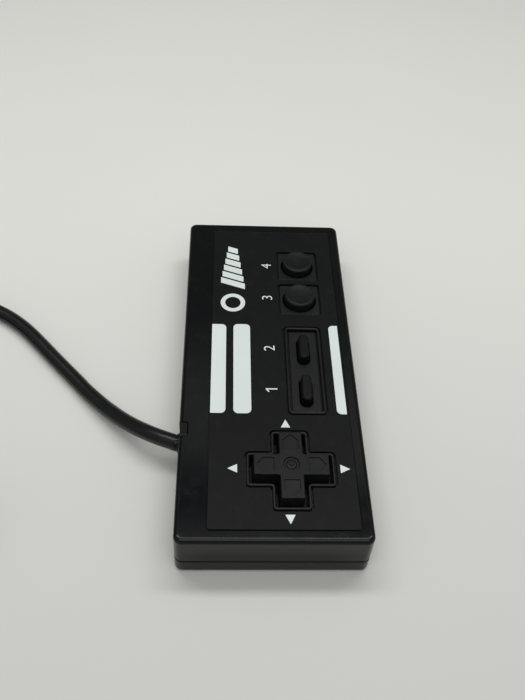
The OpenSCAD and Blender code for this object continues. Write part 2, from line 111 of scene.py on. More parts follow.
def make_camera():
    """Looks along the case from the direction cross's end, tipped a little to one side."""
    eye = Vector((-163.96, 16.14, 218.22)) * MM
    yaw, pitch, roll = radians(-4.329), radians(45.331), radians(4.179)
    ahead = Vector((cos(pitch) * cos(yaw), cos(pitch) * sin(yaw), -sin(pitch)))
    right = ahead.cross(Vector((0, 0, 1))).normalized()
    up = right.cross(ahead)
    side = right * cos(roll) + up * sin(roll)
    top = up * cos(roll) - right * sin(roll)
    data = bpy.data.cameras.new("camera")
    data.lens, data.sensor_width = 41.87, 36
    data.shift_y = -0.10
    data.clip_start, data.clip_end = 0.01, 20
    camera = in_scene("camera", data)
    turn = Matrix((side, top, -ahead)).transposed()
    camera.matrix_world = Matrix.Translation(eye) @ turn.to_4x4()
    bpy.context.scene.camera = camera


make_camera()


# ---- cord: out of the case, down to the table, round into its coil, and to the plug ----

RUN = [
    (EXIT_X, OUTER_Y + 0.85, EXIT_Z), (-26.7, 29.8, 9.5), (-25.75, 32, 9.3), (-24.55, 34.3, 8.9),
    (-23.05, 36.8, 8.3), (-21.25, 39.4, 7.5), (-19.2, 42.1, 6.6), (-16.6, 45.2, 5.6),
    (-13.8, 48.3, 4.7), (-10.5, 51.7, 3.8), (-7, 55.1, 3.2), (-3.2, 58.7, 2.7), (0.8, 62.2, 2.5),
    (4.8, 65.9, CORD_R), (8.8, 69.6, CORD_R), (13, 73.4, CORD_R), (17.3, 77.3, CORD_R),
    (21.5, 81.3, CORD_R), (25.2, 85.4, CORD_R), (28.2, 89.4, CORD_R), (30.7, 93.5, CORD_R),
    (33, 97.8, CORD_R), (35, 102.3, CORD_R), (36.9, 107.2, CORD_R), (38.4, 112.4, CORD_R),
    (39.3, 117.6, CORD_R), (39.7, 123, CORD_R), (39.7, 128.4, CORD_R), (39.3, 133.6, CORD_R),
]
TAIL = [
    (-12, 172.6, 7.4), (-18, 172.7, 7.2), (-24, 172.6, 6.2), (-30, 172, 4.9), (-35.4, 170.4, 3.7),
    (-40.2, 167.8, 2.8), (-44.4, 164.2, 2.5), (-47.8, 159.6, 2.5), (-50.2, 154.4, 2.95),
    (-51.5, 149, 4), (-52, 143.6, 5.3), (-52, 138.6, 6.4), (PLUG_X, BOOT_Y[1], PLUG_MID_Z),
]
# The coil winds in along the table, climbs at its innermost turn, and winds out on top
OUTER_TURN_R = 38.15
INNER_TURN_R = OUTER_TURN_R - 4 * CORD_D
TURN_STEP = 15
INWARD_END = 4 * 360
COIL_END = 7 * 360 + 90
CLIMB = (1350, 1530)
TIE_ANGLE, TIE_LIFT, TIE_R = 215, 0.6, 26.9


def lower_turn_r(angle):
    return OUTER_TURN_R - CORD_D * angle / 360


def ease(share):
    share = min(1, max(0, share))
    return share * share * (3 - 2 * share)


def coil_point(angle):
    """A point of the cord's middle line at this angle of winding, in degrees from +X."""
    if angle <= INWARD_END:
        radius = lower_turn_r(angle)
    else:
        radius = INNER_TURN_R + CORD_D * (angle - INWARD_END) / 360
    height = CORD_R + CORD_D * sqrt(3) / 2 * ease((angle - CLIMB[0]) / (CLIMB[1] - CLIMB[0]))
    if angle > CLIMB[1]:
        gap = min(abs(radius - lower_turn_r(a)) for a in range(angle % 360, CLIMB[0] + 60, 360))
        height = CORD_R + sqrt(CORD_D ** 2 - min(gap, CORD_R) ** 2) + 0.05
    off_tie = (angle - TIE_ANGLE + 180) % 360 - 180
    height += TIE_LIFT * exp(-(off_tie / 20) ** 2)
    turn = radians(angle)
    return (COIL_AT[0] + radius * cos(turn), COIL_AT[1] + radius * sin(turn), height)


def make_cord():
    coil = [coil_point(a) for a in range(TURN_STEP, COIL_END + 1, TURN_STEP)]
    data = bpy.data.curves.new("cord", "CURVE")
    data.dimensions = "3D"
    spline = data.splines.new("BEZIER")
    route = RUN + coil + TAIL
    spline.bezier_points.add(len(route) - 1)
    for knot, at in zip(spline.bezier_points, route):
        knot.co = Vector(at) * MM
        knot.handle_left_type = knot.handle_right_type = "AUTO"
    spline.resolution_u = 4
    data.bevel_depth = CORD_R * MM
    data.bevel_resolution = 6
    data.use_fill_caps = True
    return in_scene("cord_jacket", data)


cord = make_cord()


# ---- outlines: each is a function of how far it is grown outwards ----

def rounded(corners, steps=6):
    """A closed outline through (x, y, radius) corners, anticlockwise."""
    def at(grow):
        points = []
        for i, (x, y, radius) in enumerate(corners):
            here = Vector((x, y))
            before = Vector(corners[i - 1][:2])
            after = Vector(corners[(i + 1) % len(corners)][:2])
            a, b = (here - before).normalized(), (after - here).normalized()
            out_a, out_b = Vector((a.y, -a.x)), Vector((b.y, -b.x))
            way = 1 if a.cross(b) > 0 else -1
            mitre = (out_a + out_b) / (1 + out_a.dot(out_b))
            bend = max(radius + way * grow, 0.01)
            centre = here + mitre * (grow - way * bend)
            start = atan2(way * out_a.y, way * out_a.x)
            sweep = atan2(a.cross(b), a.dot(b))
            for k in range(steps + 1):
                turn = start + sweep * k / steps
                points.append(centre + bend * Vector((cos(turn), sin(turn))))
        return points
    return at


def circle(at, radius, count=48):
    def points(grow):
        reach = max(radius + grow, 0.005)
        return [Vector((at[0] + reach * cos(2 * pi * k / count), at[1] + reach * sin(2 * pi * k / count)))
                for k in range(count)]
    return points


def rectangle(low, high, radius, steps=6):
    x0, y0, x1, y1 = *low, *high
    return rounded([(x0, y0, radius), (x1, y0, radius), (x1, y1, radius), (x0, y1, radius)], steps)


def oblong(at, length, width, radius, steps=6):
    reach = Vector((length / 2, width / 2))
    return rectangle(Vector(at) - reach, Vector(at) + reach, radius, steps)


def plus(at, span, arm, tip_r, inner_r):
    """A plus shape, with its arm tips and its inner corners rounded."""
    far, near = span / 2, arm / 2
    corners = []
    for quarter in range(4):
        for x, y, radius in ((far, -near, tip_r), (far, near, tip_r), (near, near, inner_r)):
            spot = Matrix.Rotation(quarter * pi / 2, 2) @ Vector((x, y))
            corners.append((at[0] + spot.x, at[1] + spot.y, radius))
    return rounded(corners, 5)


# ---- profiles and lofts ----

HOLD = 0.06


def soften(corners):
    """Rounds (grow, height, radius) corners, with a close ring each side to hold flat faces flat."""
    steps_out = []
    for i, (grow, height, radius) in enumerate(corners):
        here = Vector((grow, height))
        if radius == 0 or i in (0, len(corners) - 1):
            steps_out.append(tuple(here))
            continue
        a = (Vector(corners[i - 1][:2]) - here).normalized()
        b = (Vector(corners[i + 1][:2]) - here).normalized()
        half = a.angle(b) / 2
        reach = radius / tan(half)
        centre = here + (a + b).normalized() * radius / sin(half)
        start, end = here + a * reach, here + b * reach
        rise = (start - centre).angle_signed(end - centre)
        count = 4 + int(radius * 3)
        steps_out.append(tuple(start + a * HOLD))
        for k in range(count + 1):
            steps_out.append(tuple(centre + Matrix.Rotation(-rise * k / count, 2) @ (start - centre)))
        steps_out.append(tuple(end + b * HOLD))
    return steps_out


def ring(bm, points, height):
    return [bm.verts.new((p[0], p[1], height)) for p in points]


def join_rings(bm, rings):
    """Walls between rings that have the same number of points. Returns the first and last ring."""
    for low, high in zip(rings, rings[1:]):
        for k in range(len(low)):
            n = (k + 1) % len(low)
            bm.faces.new((low[k], low[n], high[n], high[k]))
    return rings[0], rings[-1]


def loft(bm, outline, profile):
    return join_rings(bm, [ring(bm, outline(grow), height) for grow, height in profile])


def fill(bm, outer, *holes):
    """Flat faces inside a ring and outside its holes."""
    loops = [outer, *holes]
    verts = [v for loop in loops for v in loop]
    for triangle in tessellate_polygon([[v.co for v in loop] for loop in loops]):
        corners = [verts[i] for i in triangle]
        if len(set(corners)) == 3:
            try:
                bm.faces.new(corners)
            except ValueError:
                pass


def block(bm, outline, profile):
    """A closed loft, capped at both ends."""
    first, last = loft(bm, outline, profile)
    fill(bm, first)
    fill(bm, last)


def slab(bm, outline, low_z, high_z, edge):
    inside = -2 * edge - HOLD
    block(bm, outline, soften([(inside, low_z, 0), (0, low_z, edge), (0, high_z, edge), (inside, high_z, 0)]))


def bowl(radius, centre_z, from_degrees, to_degrees, base_r, count=10):
    """Profile steps along a sphere; angles are from straight down, and base_r is the outline's."""
    steps_out = []
    for k in range(count + 1):
        turn = radians(from_degrees + (to_degrees - from_degrees) * k / count)
        steps_out.append((radius * sin(turn) - base_r, centre_z - radius * cos(turn)))
    return steps_out


# ---- shaders ----

def add(tree, kind, inputs=None, **settings):
    """A node with its settings, and its inputs set or linked by name or number."""
    node = tree.nodes.new(kind)
    for key, value in settings.items():
        setattr(node, key, value)
    for key, value in (inputs or {}).items():
        if isinstance(value, bpy.types.NodeSocket):
            tree.links.new(value, node.inputs[key])
        else:
            node.inputs[key].default_value = value
    return node


def maths(tree, operation, a, b=0.0, clamp=False):
    return add(tree, "ShaderNodeMath", {0: a, 1: b}, operation=operation, use_clamp=clamp).outputs[0]


def times(tree, a, b, clamp=False):
    return maths(tree, "MULTIPLY", a, b, clamp)


def ramp(tree, value, low, high, to_low=0.0, to_high=1.0):
    return add(tree, "ShaderNodeMapRange",
               {"Value": value, "From Min": low, "From Max": high, "To Min": to_low, "To Max": to_high},
               interpolation_type="SMOOTHSTEP").outputs["Result"]


def mix(tree, share, a, b):
    return add(tree, "ShaderNodeMix", {0: share, 6: a, 7: b}, data_type="RGBA").outputs[2]


def object_place(tree):
    return add(tree, "ShaderNodeTexCoord").outputs["Object"]


def off_middle(tree, value, middle):
    """How far a value is from a middle one, either way."""
    return maths(tree, "ABSOLUTE", maths(tree, "SUBTRACT", value, middle))


def noise(tree, scale, detail=3.0, vector=None, roughness=0.55):
    inputs = {"Scale": scale, "Detail": detail, "Roughness": roughness}
    if vector is None:
        vector = object_place(tree)
    return add(tree, "ShaderNodeTexNoise", {"Vector": vector, **inputs}).outputs["Fac"]


def effect(name, inputs, outputs):
    """An empty shared node group with named float inputs and outputs."""
    tree = bpy.data.node_groups.new(name, "ShaderNodeTree")
    for label, value in inputs.items():
        socket = tree.interface.new_socket(label, in_out="INPUT", socket_type="NodeSocketFloat")
        socket.default_value = value
    for label in outputs:
        tree.interface.new_socket(label, in_out="OUTPUT", socket_type="NodeSocketFloat")
    return tree, tree.nodes.new("NodeGroupInput").outputs, tree.nodes.new("NodeGroupOutput")


def make_grain():
    """The fine texture of a moulded or filmed surface, and slow drift in its tone."""
    tree, given, out = effect("grain", {"Scale": 4000.0, "Coarse": 0.3}, ["Height", "Drift"])
    fine = noise(tree, given["Scale"], 2.0)
    coarse = noise(tree, times(tree, given["Scale"], 0.22), 2.0)
    height = maths(tree, "ADD", fine, times(tree, coarse, given["Coarse"]))
    drift = noise(tree, 34.0, 3.0)
    tree.links.new(height, out.inputs["Height"])
    tree.links.new(drift, out.inputs["Drift"])
    return tree


def make_handling():
    """Dust on what faces up, and the cloudy marks that fingers leave."""
    tree, given, out = effect("handling", {"Dust": 0.1, "Smudge": 0.2}, ["Dust", "Smudge"])
    specks = add(tree, "ShaderNodeTexVoronoi",
                 {"Vector": object_place(tree), "Scale": 620.0, "Randomness": 1.0}, feature="F1")
    speck = ramp(tree, specks.outputs["Distance"], 0.20, 0.05)
    chance = add(tree, "ShaderNodeSeparateColor", {0: specks.outputs["Color"]}).outputs[0]
    pick = ramp(tree, chance, 0.93, 0.97)
    film = ramp(tree, noise(tree, 260.0, 4.0), 0.5, 0.8, 0.0, 0.35)
    normal = add(tree, "ShaderNodeNewGeometry").outputs["Normal"]
    upward = ramp(tree, add(tree, "ShaderNodeSeparateXYZ", {0: normal}).outputs["Z"], 0.2, 0.9)
    dust = times(tree, maths(tree, "MAXIMUM", times(tree, speck, pick), film), upward)
    tree.links.new(times(tree, dust, given["Dust"], clamp=True), out.inputs["Dust"])
    cloud = ramp(tree, noise(tree, 70.0, 5.0, roughness=0.65), 0.42, 0.68)
    tree.links.new(times(tree, cloud, given["Smudge"]), out.inputs["Smudge"])
    return tree


def make_edge_wear():
    """Rubbed edges: the piece's own edge attribute, broken up."""
    tree, given, out = effect("edge_wear", {"Amount": 0.3, "Breakup": 900.0}, ["Wear"])
    edge = add(tree, "ShaderNodeAttribute", attribute_name="edge").outputs["Fac"]
    patch = ramp(tree, noise(tree, given["Breakup"], 4.0), 0.35, 0.65, 0.25, 1.0)
    wear = times(tree, times(tree, edge, patch), given["Amount"], clamp=True)
    tree.links.new(wear, out.inputs["Wear"])
    return tree


GRAIN, HANDLING, EDGE_WEAR = make_grain(), make_handling(), make_edge_wear()


def use(tree, group, values):
    node = tree.nodes.new("ShaderNodeGroup")
    node.node_tree = group
    for key, value in values.items():
        node.inputs[key].default_value = value
    return node


def finish(name, colour, roughness, grain=(4000, 0.02), drift=0.15, dust=0.1, smudge=0.1, wear=0.2,
           wear_colour=None, paint=None, metallic=0.0, **fixed):
    """A surface with the shared grain, handling and edge wear. grain is its scale per metre and its
    depth in millimetres. Roughness may be drawn in the material's tree by a function, and so may the
    base colour, by paint."""
    material = bpy.data.materials.new(name)
    material.use_nodes = True
    tree = material.node_tree
    shader = tree.nodes["Principled BSDF"]
    fine = use(tree, GRAIN, {"Scale": grain[0]})
    marks = use(tree, HANDLING, {"Dust": dust, "Smudge": smudge})
    rubbed = use(tree, EDGE_WEAR, {"Amount": wear})
    base = paint(tree) if paint else (*colour, 1)
    shade = ramp(tree, fine.outputs["Drift"], 0.3, 0.7, 1 - drift, 1 + drift)
    toned = add(tree, "ShaderNodeVectorMath", {0: base if paint else base[:3], 3: shade}, operation="SCALE")
    light = wear_colour or [min(1, 2.4 * c + 0.02) for c in colour]
    worn = mix(tree, rubbed.outputs["Wear"], toned.outputs[0], (*light, 1))
    dusty = mix(tree, marks.outputs["Dust"], worn, (0.32, 0.31, 0.30, 1))
    tree.links.new(dusty, shader.inputs["Base Color"])
    base_rough = roughness(tree) if callable(roughness) else roughness
    rough = maths(tree, "ADD", maths(tree, "ADD", marks.outputs["Smudge"], base_rough),
                  times(tree, marks.outputs["Dust"], 0.5), clamp=True)
    tree.links.new(rough, shader.inputs["Roughness"])
    shader.inputs["Metallic"].default_value = metallic
    for key, value in fixed.items():
        shader.inputs[key.replace("_", " ")].default_value = value
    bump = add(tree, "ShaderNodeBump", {"Height": fine.outputs["Height"], "Strength": 0.6,
                                        "Distance": grain[1] * MM})
    tree.links.new(bump.outputs["Normal"], shader.inputs["Normal"])
    return material


# ---- finishes ----

def object_axis(tree, axis):
    return add(tree, "ShaderNodeSeparateXYZ", {0: object_place(tree)}).outputs[axis]


def board_paint(tree):
    """Green mask over copper tracks that run mostly along and across the board."""
    tracks = add(tree, "ShaderNodeTexBrick", {
        "Vector": object_place(tree), "Scale": 1.0, "Mortar Size": 0.0004, "Mortar Smooth": 0.3, "Bias": 0.0,
        "Brick Width": 0.017, "Row Height": 0.0021})
    patch = ramp(tree, noise(tree, 90.0, 1.0), 0.46, 0.5)
    track = times(tree, tracks.outputs["Fac"], patch)
    return mix(tree, track, (0.012, 0.075, 0.03, 1), (0.045, 0.2, 0.07, 1))


def wire_paint(tree):
    """One colour for each of the five leads, by place across the row."""
    place = ramp(tree, object_axis(tree, "X"), (EXIT_X - 4.5) * MM, (EXIT_X + 4.5) * MM)
    place.node.interpolation_type = "LINEAR"
    colours = add(tree, "ShaderNodeValToRGB", {"Fac": place})
    strip = colours.color_ramp
    strip.interpolation = "CONSTANT"
    tints = [(0.35, 0.02, 0.015), (0.5, 0.42, 0.03), (0.02, 0.2, 0.05), (0.01, 0.05, 0.3), (0.5, 0.5, 0.48)]
    while len(strip.elements) < len(tints):
        strip.elements.new(0.5)
    for k, tint in enumerate(tints):
        strip.elements[k].position = k / len(tints)
        strip.elements[k].color = (*tint, 1)
    return colours.outputs["Color"]


def resistor_paint(tree):
    """Tan lacquer with four colour bands along each body."""
    along = object_axis(tree, "Y")
    colour = (0.55, 0.36, 0.19, 1)
    bands = [(4.8, (0.18, 0.06, 0.02, 1)), (5.6, (0.01, 0.01, 0.01, 1)), (6.3, (0.5, 0.16, 0.02, 1)),
             (7.3, (0.5, 0.36, 0.08, 1))]
    for place, tint in bands:
        off = off_middle(tree, along, place * MM)
        colour = mix(tree, ramp(tree, off, 0.00022, 0.00018), colour, tint)
    return colour


def chip_paint(tree):
    """Black epoxy, with tinned legs below its middle line and outside its body."""
    off = off_middle(tree, object_axis(tree, "Y"), 0.006)
    return mix(tree, ramp(tree, off, 0.00198, 0.00204), (0.014, 0.014, 0.015, 1), (0.55, 0.56, 0.58, 1))


def inside_plate(tree):
    """1 inside the faceplate's outline on the upper face and 0 on the polished rest."""
    reach = (PLATE_HIGH - PLATE_LOW) / 2
    middle = (PLATE_HIGH + PLATE_LOW) / 2
    share = ramp(tree, object_axis(tree, "Z"), 0.0150, 0.0160)
    for k, axis in enumerate("XY"):
        off = off_middle(tree, object_axis(tree, axis), middle[k] * MM)
        share = times(tree, share, ramp(tree, off, reach[k] * MM, (reach[k] - 0.3) * MM))
    return share


def case_paint(tree):
    return mix(tree, inside_plate(tree), (0.0030, 0.0034, 0.0038, 1), (0.0062, 0.0070, 0.0068, 1))


def case_polish(tree):
    return maths(tree, "ADD", times(tree, inside_plate(tree), 0.26), 0.09)


FINISH = {
    "case": finish("case_gloss", (0.0030, 0.0034, 0.0038), case_polish, grain=(2600, 0.003), drift=0.1,
                   dust=0.03, smudge=0.06, wear=0.08, paint=case_paint, Specular_IOR_Level=0.21),
    "film": finish("plate_film", (0.0062, 0.0072, 0.0067), 0.44, grain=(5200, 0.010), drift=0.08, dust=0.03,
                   smudge=0.04, wear=0.15, Specular_IOR_Level=0.08),
    "ink": finish("white_ink", (0.665, 0.73, 0.72), 0.42, grain=(5200, 0.01), drift=0.03, dust=0.03,
                  smudge=0.08, wear=0.0, wear_colour=(0.7, 0.72, 0.71)),
    "control": finish("control_plastic", (0.0060, 0.0066, 0.0068), 0.38, grain=(6000, 0.008), drift=0.12,
                      dust=0.05, smudge=0.08, wear=0.30, Specular_IOR_Level=0.15),
    "key_rubber": finish("key_rubber", (0.0018, 0.0030, 0.0042), 0.42, grain=(7000, 0.012), drift=0.12,
                         dust=0.03, smudge=0.06, wear=0.10, Specular_IOR_Level=0.14),
    "jacket": finish("cord_jacket", (0.0030, 0.0034, 0.0038), 0.27, grain=(5200, 0.006), drift=0.15,
                     dust=0.03, smudge=0.08, wear=0.0, Specular_IOR_Level=0.32),
    "plug": finish("plug_moulding", (0.0100, 0.0105, 0.0115), 0.48, grain=(3400, 0.03), drift=0.12, dust=0.10,
                   smudge=0.10, wear=0.25),
    "steel": finish("tinned_steel", (0.50, 0.51, 0.53), 0.28, grain=(2400, 0.006), drift=0.08, dust=0.04,
                    smudge=0.12, wear=0.3, wear_colour=(0.62, 0.62, 0.63), metallic=1.0),
    "gold": finish("gold_flash", (0.78, 0.54, 0.20), 0.22, grain=(3000, 0.004), drift=0.06, dust=0.0,
                   smudge=0.1, wear=0.0, metallic=1.0),
    "insulator": finish("insulator_resin", (0.010, 0.010, 0.011), 0.45, grain=(5000, 0.01), dust=0.06),
    "silicone": finish("silicone", (0.34, 0.36, 0.35), 0.42, grain=(3500, 0.012), drift=0.06, dust=0.05,
                       wear=0.1, wear_colour=(0.5, 0.52, 0.51), Subsurface_Weight=0.25,
                       Subsurface_Scale=0.002),
    "carbon": finish("carbon_print", (0.012, 0.012, 0.013), 0.62, grain=(9000, 0.02), dust=0.0),
    "nylon": finish("natural_nylon", (0.66, 0.63, 0.55), 0.38, grain=(3000, 0.01), drift=0.05, dust=0.05),
    "board": finish("board_mask", (0.012, 0.075, 0.03), 0.30, grain=(1800, 0.01), dust=0.05,
                    paint=board_paint),
    "chip": finish("chip_epoxy", (0.014, 0.014, 0.015), 0.5, grain=(6000, 0.015), paint=chip_paint),
    "resistor": finish("resistor_lacquer", (0.55, 0.36, 0.19), 0.3, grain=(2500, 0.01), paint=resistor_paint),
    "sleeve": finish("capacitor_sleeve", (0.012, 0.03, 0.075), 0.28, grain=(2500, 0.008)),
    "wires": finish("lead_insulation", (0.3, 0.05, 0.04), 0.4, grain=(4000, 0.01), paint=wire_paint),
}


# ---- making pieces ----

def mark_edges(bm):
    """Stores how sharply each point stands out, for the wear on its edges."""
    layer = bm.verts.layers.float.new("edge")
    for vert in bm.verts:
        turns = [e.calc_face_angle_signed() for e in vert.link_edges if e.is_manifold]
        vert[layer] = min(1, max([0, *turns]) / radians(30))


def shade(bm, sharp=34):
    for face in bm.faces:
        face.smooth = True
    for edge in bm.edges:
        edge.smooth = not edge.is_manifold or edge.calc_face_angle() < radians(sharp)


def as_mesh(bm, name):
    """Ends a drawn shape and returns it as a mesh."""
    mesh = bpy.data.meshes.new(name)
    bm.to_mesh(mesh)
    bm.free()
    return mesh


def reshade(mesh):
    bm = bmesh.new()
    bm.from_mesh(mesh)
    shade(bm)
    bm.to_mesh(mesh)
    bm.free()


def evaluated_mesh(made):
    """The mesh that an object comes to with its modifiers run."""
    return bpy.data.meshes.new_from_object(made.evaluated_get(bpy.context.evaluated_depsgraph_get()))


def piece(name, bm, look, place=None):
    """Closes up the drawn shape and makes it an object, in metres, at the origin."""
    bmesh.ops.remove_doubles(bm, verts=bm.verts, dist=2e-4)
    bmesh.ops.dissolve_degenerate(bm, edges=bm.edges, dist=1e-5)
    bmesh.ops.recalc_face_normals(bm, faces=bm.faces)
    mark_edges(bm)
    shade(bm)
    bm.transform(Matrix.Scale(MM, 4) @ (place or Matrix.Identity(4)))
    made = in_scene(name, as_mesh(bm, name))
    made.data.materials.append(FINISH[look])
    return made


def settle(made, body, slot, *nodes):
    """The piece rides on its body and stands for its CAD nodes, which are hidden. Its slot is not used."""
    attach(made, body)
    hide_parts(*nodes)
    return made


def cut(target, *cutters):
    """Takes the cutters' shapes out of the target."""
    for cutter in cutters:
        modifier = target.modifiers.new("cut", "BOOLEAN")
        modifier.operation, modifier.solver, modifier.object = "DIFFERENCE", "EXACT", cutter
    mesh = evaluated_mesh(target)
    target.modifiers.clear()
    target.data = mesh
    for cutter in cutters:
        bpy.data.objects.remove(cutter)
    reshade(mesh)


def cutter(outline, low_z, high_z):
    bm = bmesh.new()
    block(bm, outline, [(0, low_z), (0, high_z)])
    return piece("cutter", bm, "case")


def lying(x, y, z):
    """Places a shape drawn upright so that its top points along -Y, with its own Y up."""
    return Matrix.Translation((x, y, z)) @ Matrix.Rotation(pi / 2, 4, "X")


def facing(x, y, z):
    """Places a shape drawn upright so that its top points along +Y."""
    return Matrix.Translation((x, y, z)) @ Matrix.Rotation(-pi / 2, 4, "X")


# ---- shared outlines ----

CASE = oblong((0, 0), CASE_L, CASE_W, CORNER_R, 8)
CAVITY = oblong((0, 0), CASE_L - 2 * WALL, CASE_W - 2 * WALL, 0.8, 8)
PLATE = rectangle(PLATE_LOW.xy, PLATE_HIGH.xy, 0.8)
CROSS_RIM = plus(CROSS_AT, 25.3, 10.8, 1.1, 0.35)
KEY_BED = oblong(KEY_BED_AT, 34.3, 11.5, 1.4)
BUTTON_PADS = [oblong(at, 13.2, 13.2, 0.5) for at in BUTTON_AT.values()]
RIM_W, RIM_Z, PAD_Z, BED_Z = 0.9, 17.8, 17.15, 16.8
MOAT_Z, MOAT_W = 16.2, 0.47


def key_outline(at):
    return oblong(at, 10.2, 3.5, 1.74, 8)


# ---- case ----

def make_top_shell():
    bm = bmesh.new()
    pocket_z = PLATE_LOW.z
    outside, brow = loft(bm, CASE, soften([
        (-GROOVE, SPLIT_Z, 0), (-GROOVE, SPLIT_Z + GROOVE_HALF, 0), (0, SPLIT_Z + GROOVE_HALF, 0.12),
        (0, CASE_H, 1.3), (-1.9, CASE_H, 0)]))
    pocket_top, pocket_floor = loft(bm, PLATE, soften([
        (0.6, CASE_H, 0), (0.25, CASE_H, 0.08), (0.25, pocket_z, 0)]))
    fill(bm, brow, pocket_top)
    moat = [(MOAT_W, pocket_z, 0), (MOAT_W, MOAT_Z, 0), (0, MOAT_Z, 0)]
    bead = [(0, RIM_Z, 0.4), (-RIM_W, RIM_Z, 0.4)]
    standing, ceiling_holes = [], []

    base, opening = loft(bm, CROSS_RIM, soften([*moat, *bead, (-RIM_W, CEILING_Z, 0)]))
    standing.append(base)
    ceiling_holes.append(opening)

    base, bed = loft(bm, KEY_BED, soften([
        *moat, *bead, (-RIM_W, BED_Z - 0.8, 0), (-RIM_W - 0.5, BED_Z - 0.8, 0),
        (-RIM_W - 0.5, BED_Z, 0.1), (-RIM_W - 0.9, BED_Z, 0)]))
    standing.append(base)
    slots = []
    for at in KEY_AT.values():
        slot, guard = loft(bm, key_outline(at), soften([
            (0.7, BED_Z, 0), (0.3, BED_Z, 0.12), (0.3, GUARD_Z, 0.1), (1.3, GUARD_Z, 0.1),
            (1.3, CEILING_Z, 0)]))
        slots.append(slot)
        ceiling_holes.append(guard)
    fill(bm, bed, *slots)

    for pad_outline, at in zip(BUTTON_PADS, BUTTON_AT.values()):
        base, pad = loft(bm, pad_outline, soften([*moat, (0, PAD_Z, 0.12), (-0.3, PAD_Z, 0)]))
        hole, guard = loft(bm, circle(at, 5.6, 64), soften([
            (0.4, PAD_Z, 0), (0, PAD_Z, 0.18), (0, GUARD_Z, 0.1), (1.2, GUARD_Z, 0.1),
            (1.2, CEILING_Z, 0)]))
        fill(bm, pad, hole)
        standing.append(base)
        ceiling_holes.append(guard)
    fill(bm, pocket_floor, *standing)

    for at in BOSS_AT:
        root, bore = loft(bm, circle(at, POST_R, 32), soften([
            (0, CEILING_Z, 0), (0, POST_Z, 0.15), (-1.8, POST_Z, 0.1), (-1.8, 14, 0)]))
        fill(bm, bore)
        ceiling_holes.append(root)
    ceiling, foot = loft(bm, CAVITY, [(0, CEILING_Z), (0, SPLIT_Z)])
    fill(bm, ceiling, *ceiling_holes)
    fill(bm, outside, foot)

    shell = piece("top_shell_moulding", bm, "case")
    cut(shell,
        cutter(rectangle((EXIT_X - 3.8, OUTER_Y - 3), (EXIT_X + 3.8, OUTER_Y + 1), 0.1), 0, 13.4),
        cutter(rectangle((EXIT_X - NOTCH_HALF_W, OUTER_Y - NOTCH_DEPTH), (EXIT_X + NOTCH_HALF_W, OUTER_Y + 2),
                         0.8), 0, CASE_H + 1))
    return settle(shell, "case", "case_gloss", "top_shell")


def make_bottom_shell():
    bm = bmesh.new()
    rest, ledge = loft(bm, CASE, soften([
        (-2.2, 0, 0), (0, 0, 1.6), (0, SPLIT_Z - GROOVE_HALF, 0.12),
        (-GROOVE, SPLIT_Z - GROOVE_HALF, 0),
        (-GROOVE, SPLIT_Z, 0)]))
    lip, floor = loft(bm, CAVITY, soften([
        (-0.15, SPLIT_Z, 0), (-0.15, SPLIT_Z + 1.4, 0.2), (-1.15, SPLIT_Z + 1.4, 0.2),
        (-1.15, SPLIT_Z - 1, 0), (0, SPLIT_Z - 1.6, 0), (0, FLOOR_Z, 0.4), (-1, FLOOR_Z, 0)]))
    fill(bm, ledge, lip)
    floor_holes, rest_holes = [], []
    for at in BOSS_AT:
        root, well = loft(bm, circle(at, POST_R, 40), soften([
            (0.7, FLOOR_Z, 0), (0.7, 3.4, 0.15), (0, 3.4, 0.1), (0, POST_Z, 0.15), (-1.4, POST_Z, 0.1),
            (-1.4, 2.4, 0), (-0.3, 2.4, 0), (-0.3, 0, 0.2), (0.2, 0, 0)]))
        floor_holes.append(root)
        rest_holes.append(well)
    side = [(0.3, FLOOR_Z, 0), (0, FLOOR_Z + 0.3, 0), (0, BOARD_Z, 0.15)]
    posts = [(at, 1.4, 24, [(-0.5, BOARD_Z, 0)]) for at in BOARD_REST_AT]
    posts += [(at, 2.2, 32, [(-1.3, BOARD_Z, 0.1), (-1.3, 2.6, 0)]) for at in BOARD_SCREW_AT]
    for at, radius, count, top in posts:
        root, end = loft(bm, circle(at, radius, count), soften([*side, *top]))
        fill(bm, end)
        floor_holes.append(root)
    cup = bowl(BALL_R, PIVOT_Z, 76, 2, 3.4)
    root, bottom = loft(bm, circle(CROSS_AT, 3.4, 40), [
        *soften([(0.4, FLOOR_Z, 0), (0, FLOOR_Z + 0.4, 0), (0, 10, 0.15), (-0.6, 10, 0)]), *cup])
    fill(bm, bottom)
    floor_holes.append(root)
    fill(bm, floor, *floor_holes)
    fill(bm, rest, *rest_holes)
    shell = piece("bottom_shell_moulding", bm, "case")
    cut(shell, cutter(rectangle((EXIT_X - 6, OUTER_Y - 6), (EXIT_X + 6, OUTER_Y - 0.9), 0.3), SPLIT_Z, 12))
    return settle(shell, "case", "case_gloss", "bottom_shell")


def make_saddle():
    """The block on the floor that the cord's jacket is clamped down on."""
    bm = bmesh.new()
    high, half = EXIT_Z - 0.1, 6
    hollow = [(CORD_R * sin(radians(a)), EXIT_Z - CORD_R * cos(radians(a)), 0.01)
              for a in range(84, -85, -12)]
    corners = [(-half, FLOOR_Z - 0.2, 0.05), (half, FLOOR_Z - 0.2, 0.05), (half, high, 0.3), *hollow,
               (-half, high, 0.3)]
    slab(bm, rounded(corners, 3), 0, 4, 0.1)
    made = piece("cord_saddle", bm, "case", lying(EXIT_X, CLAMP_Y + 2, 0))
    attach(made, "case")


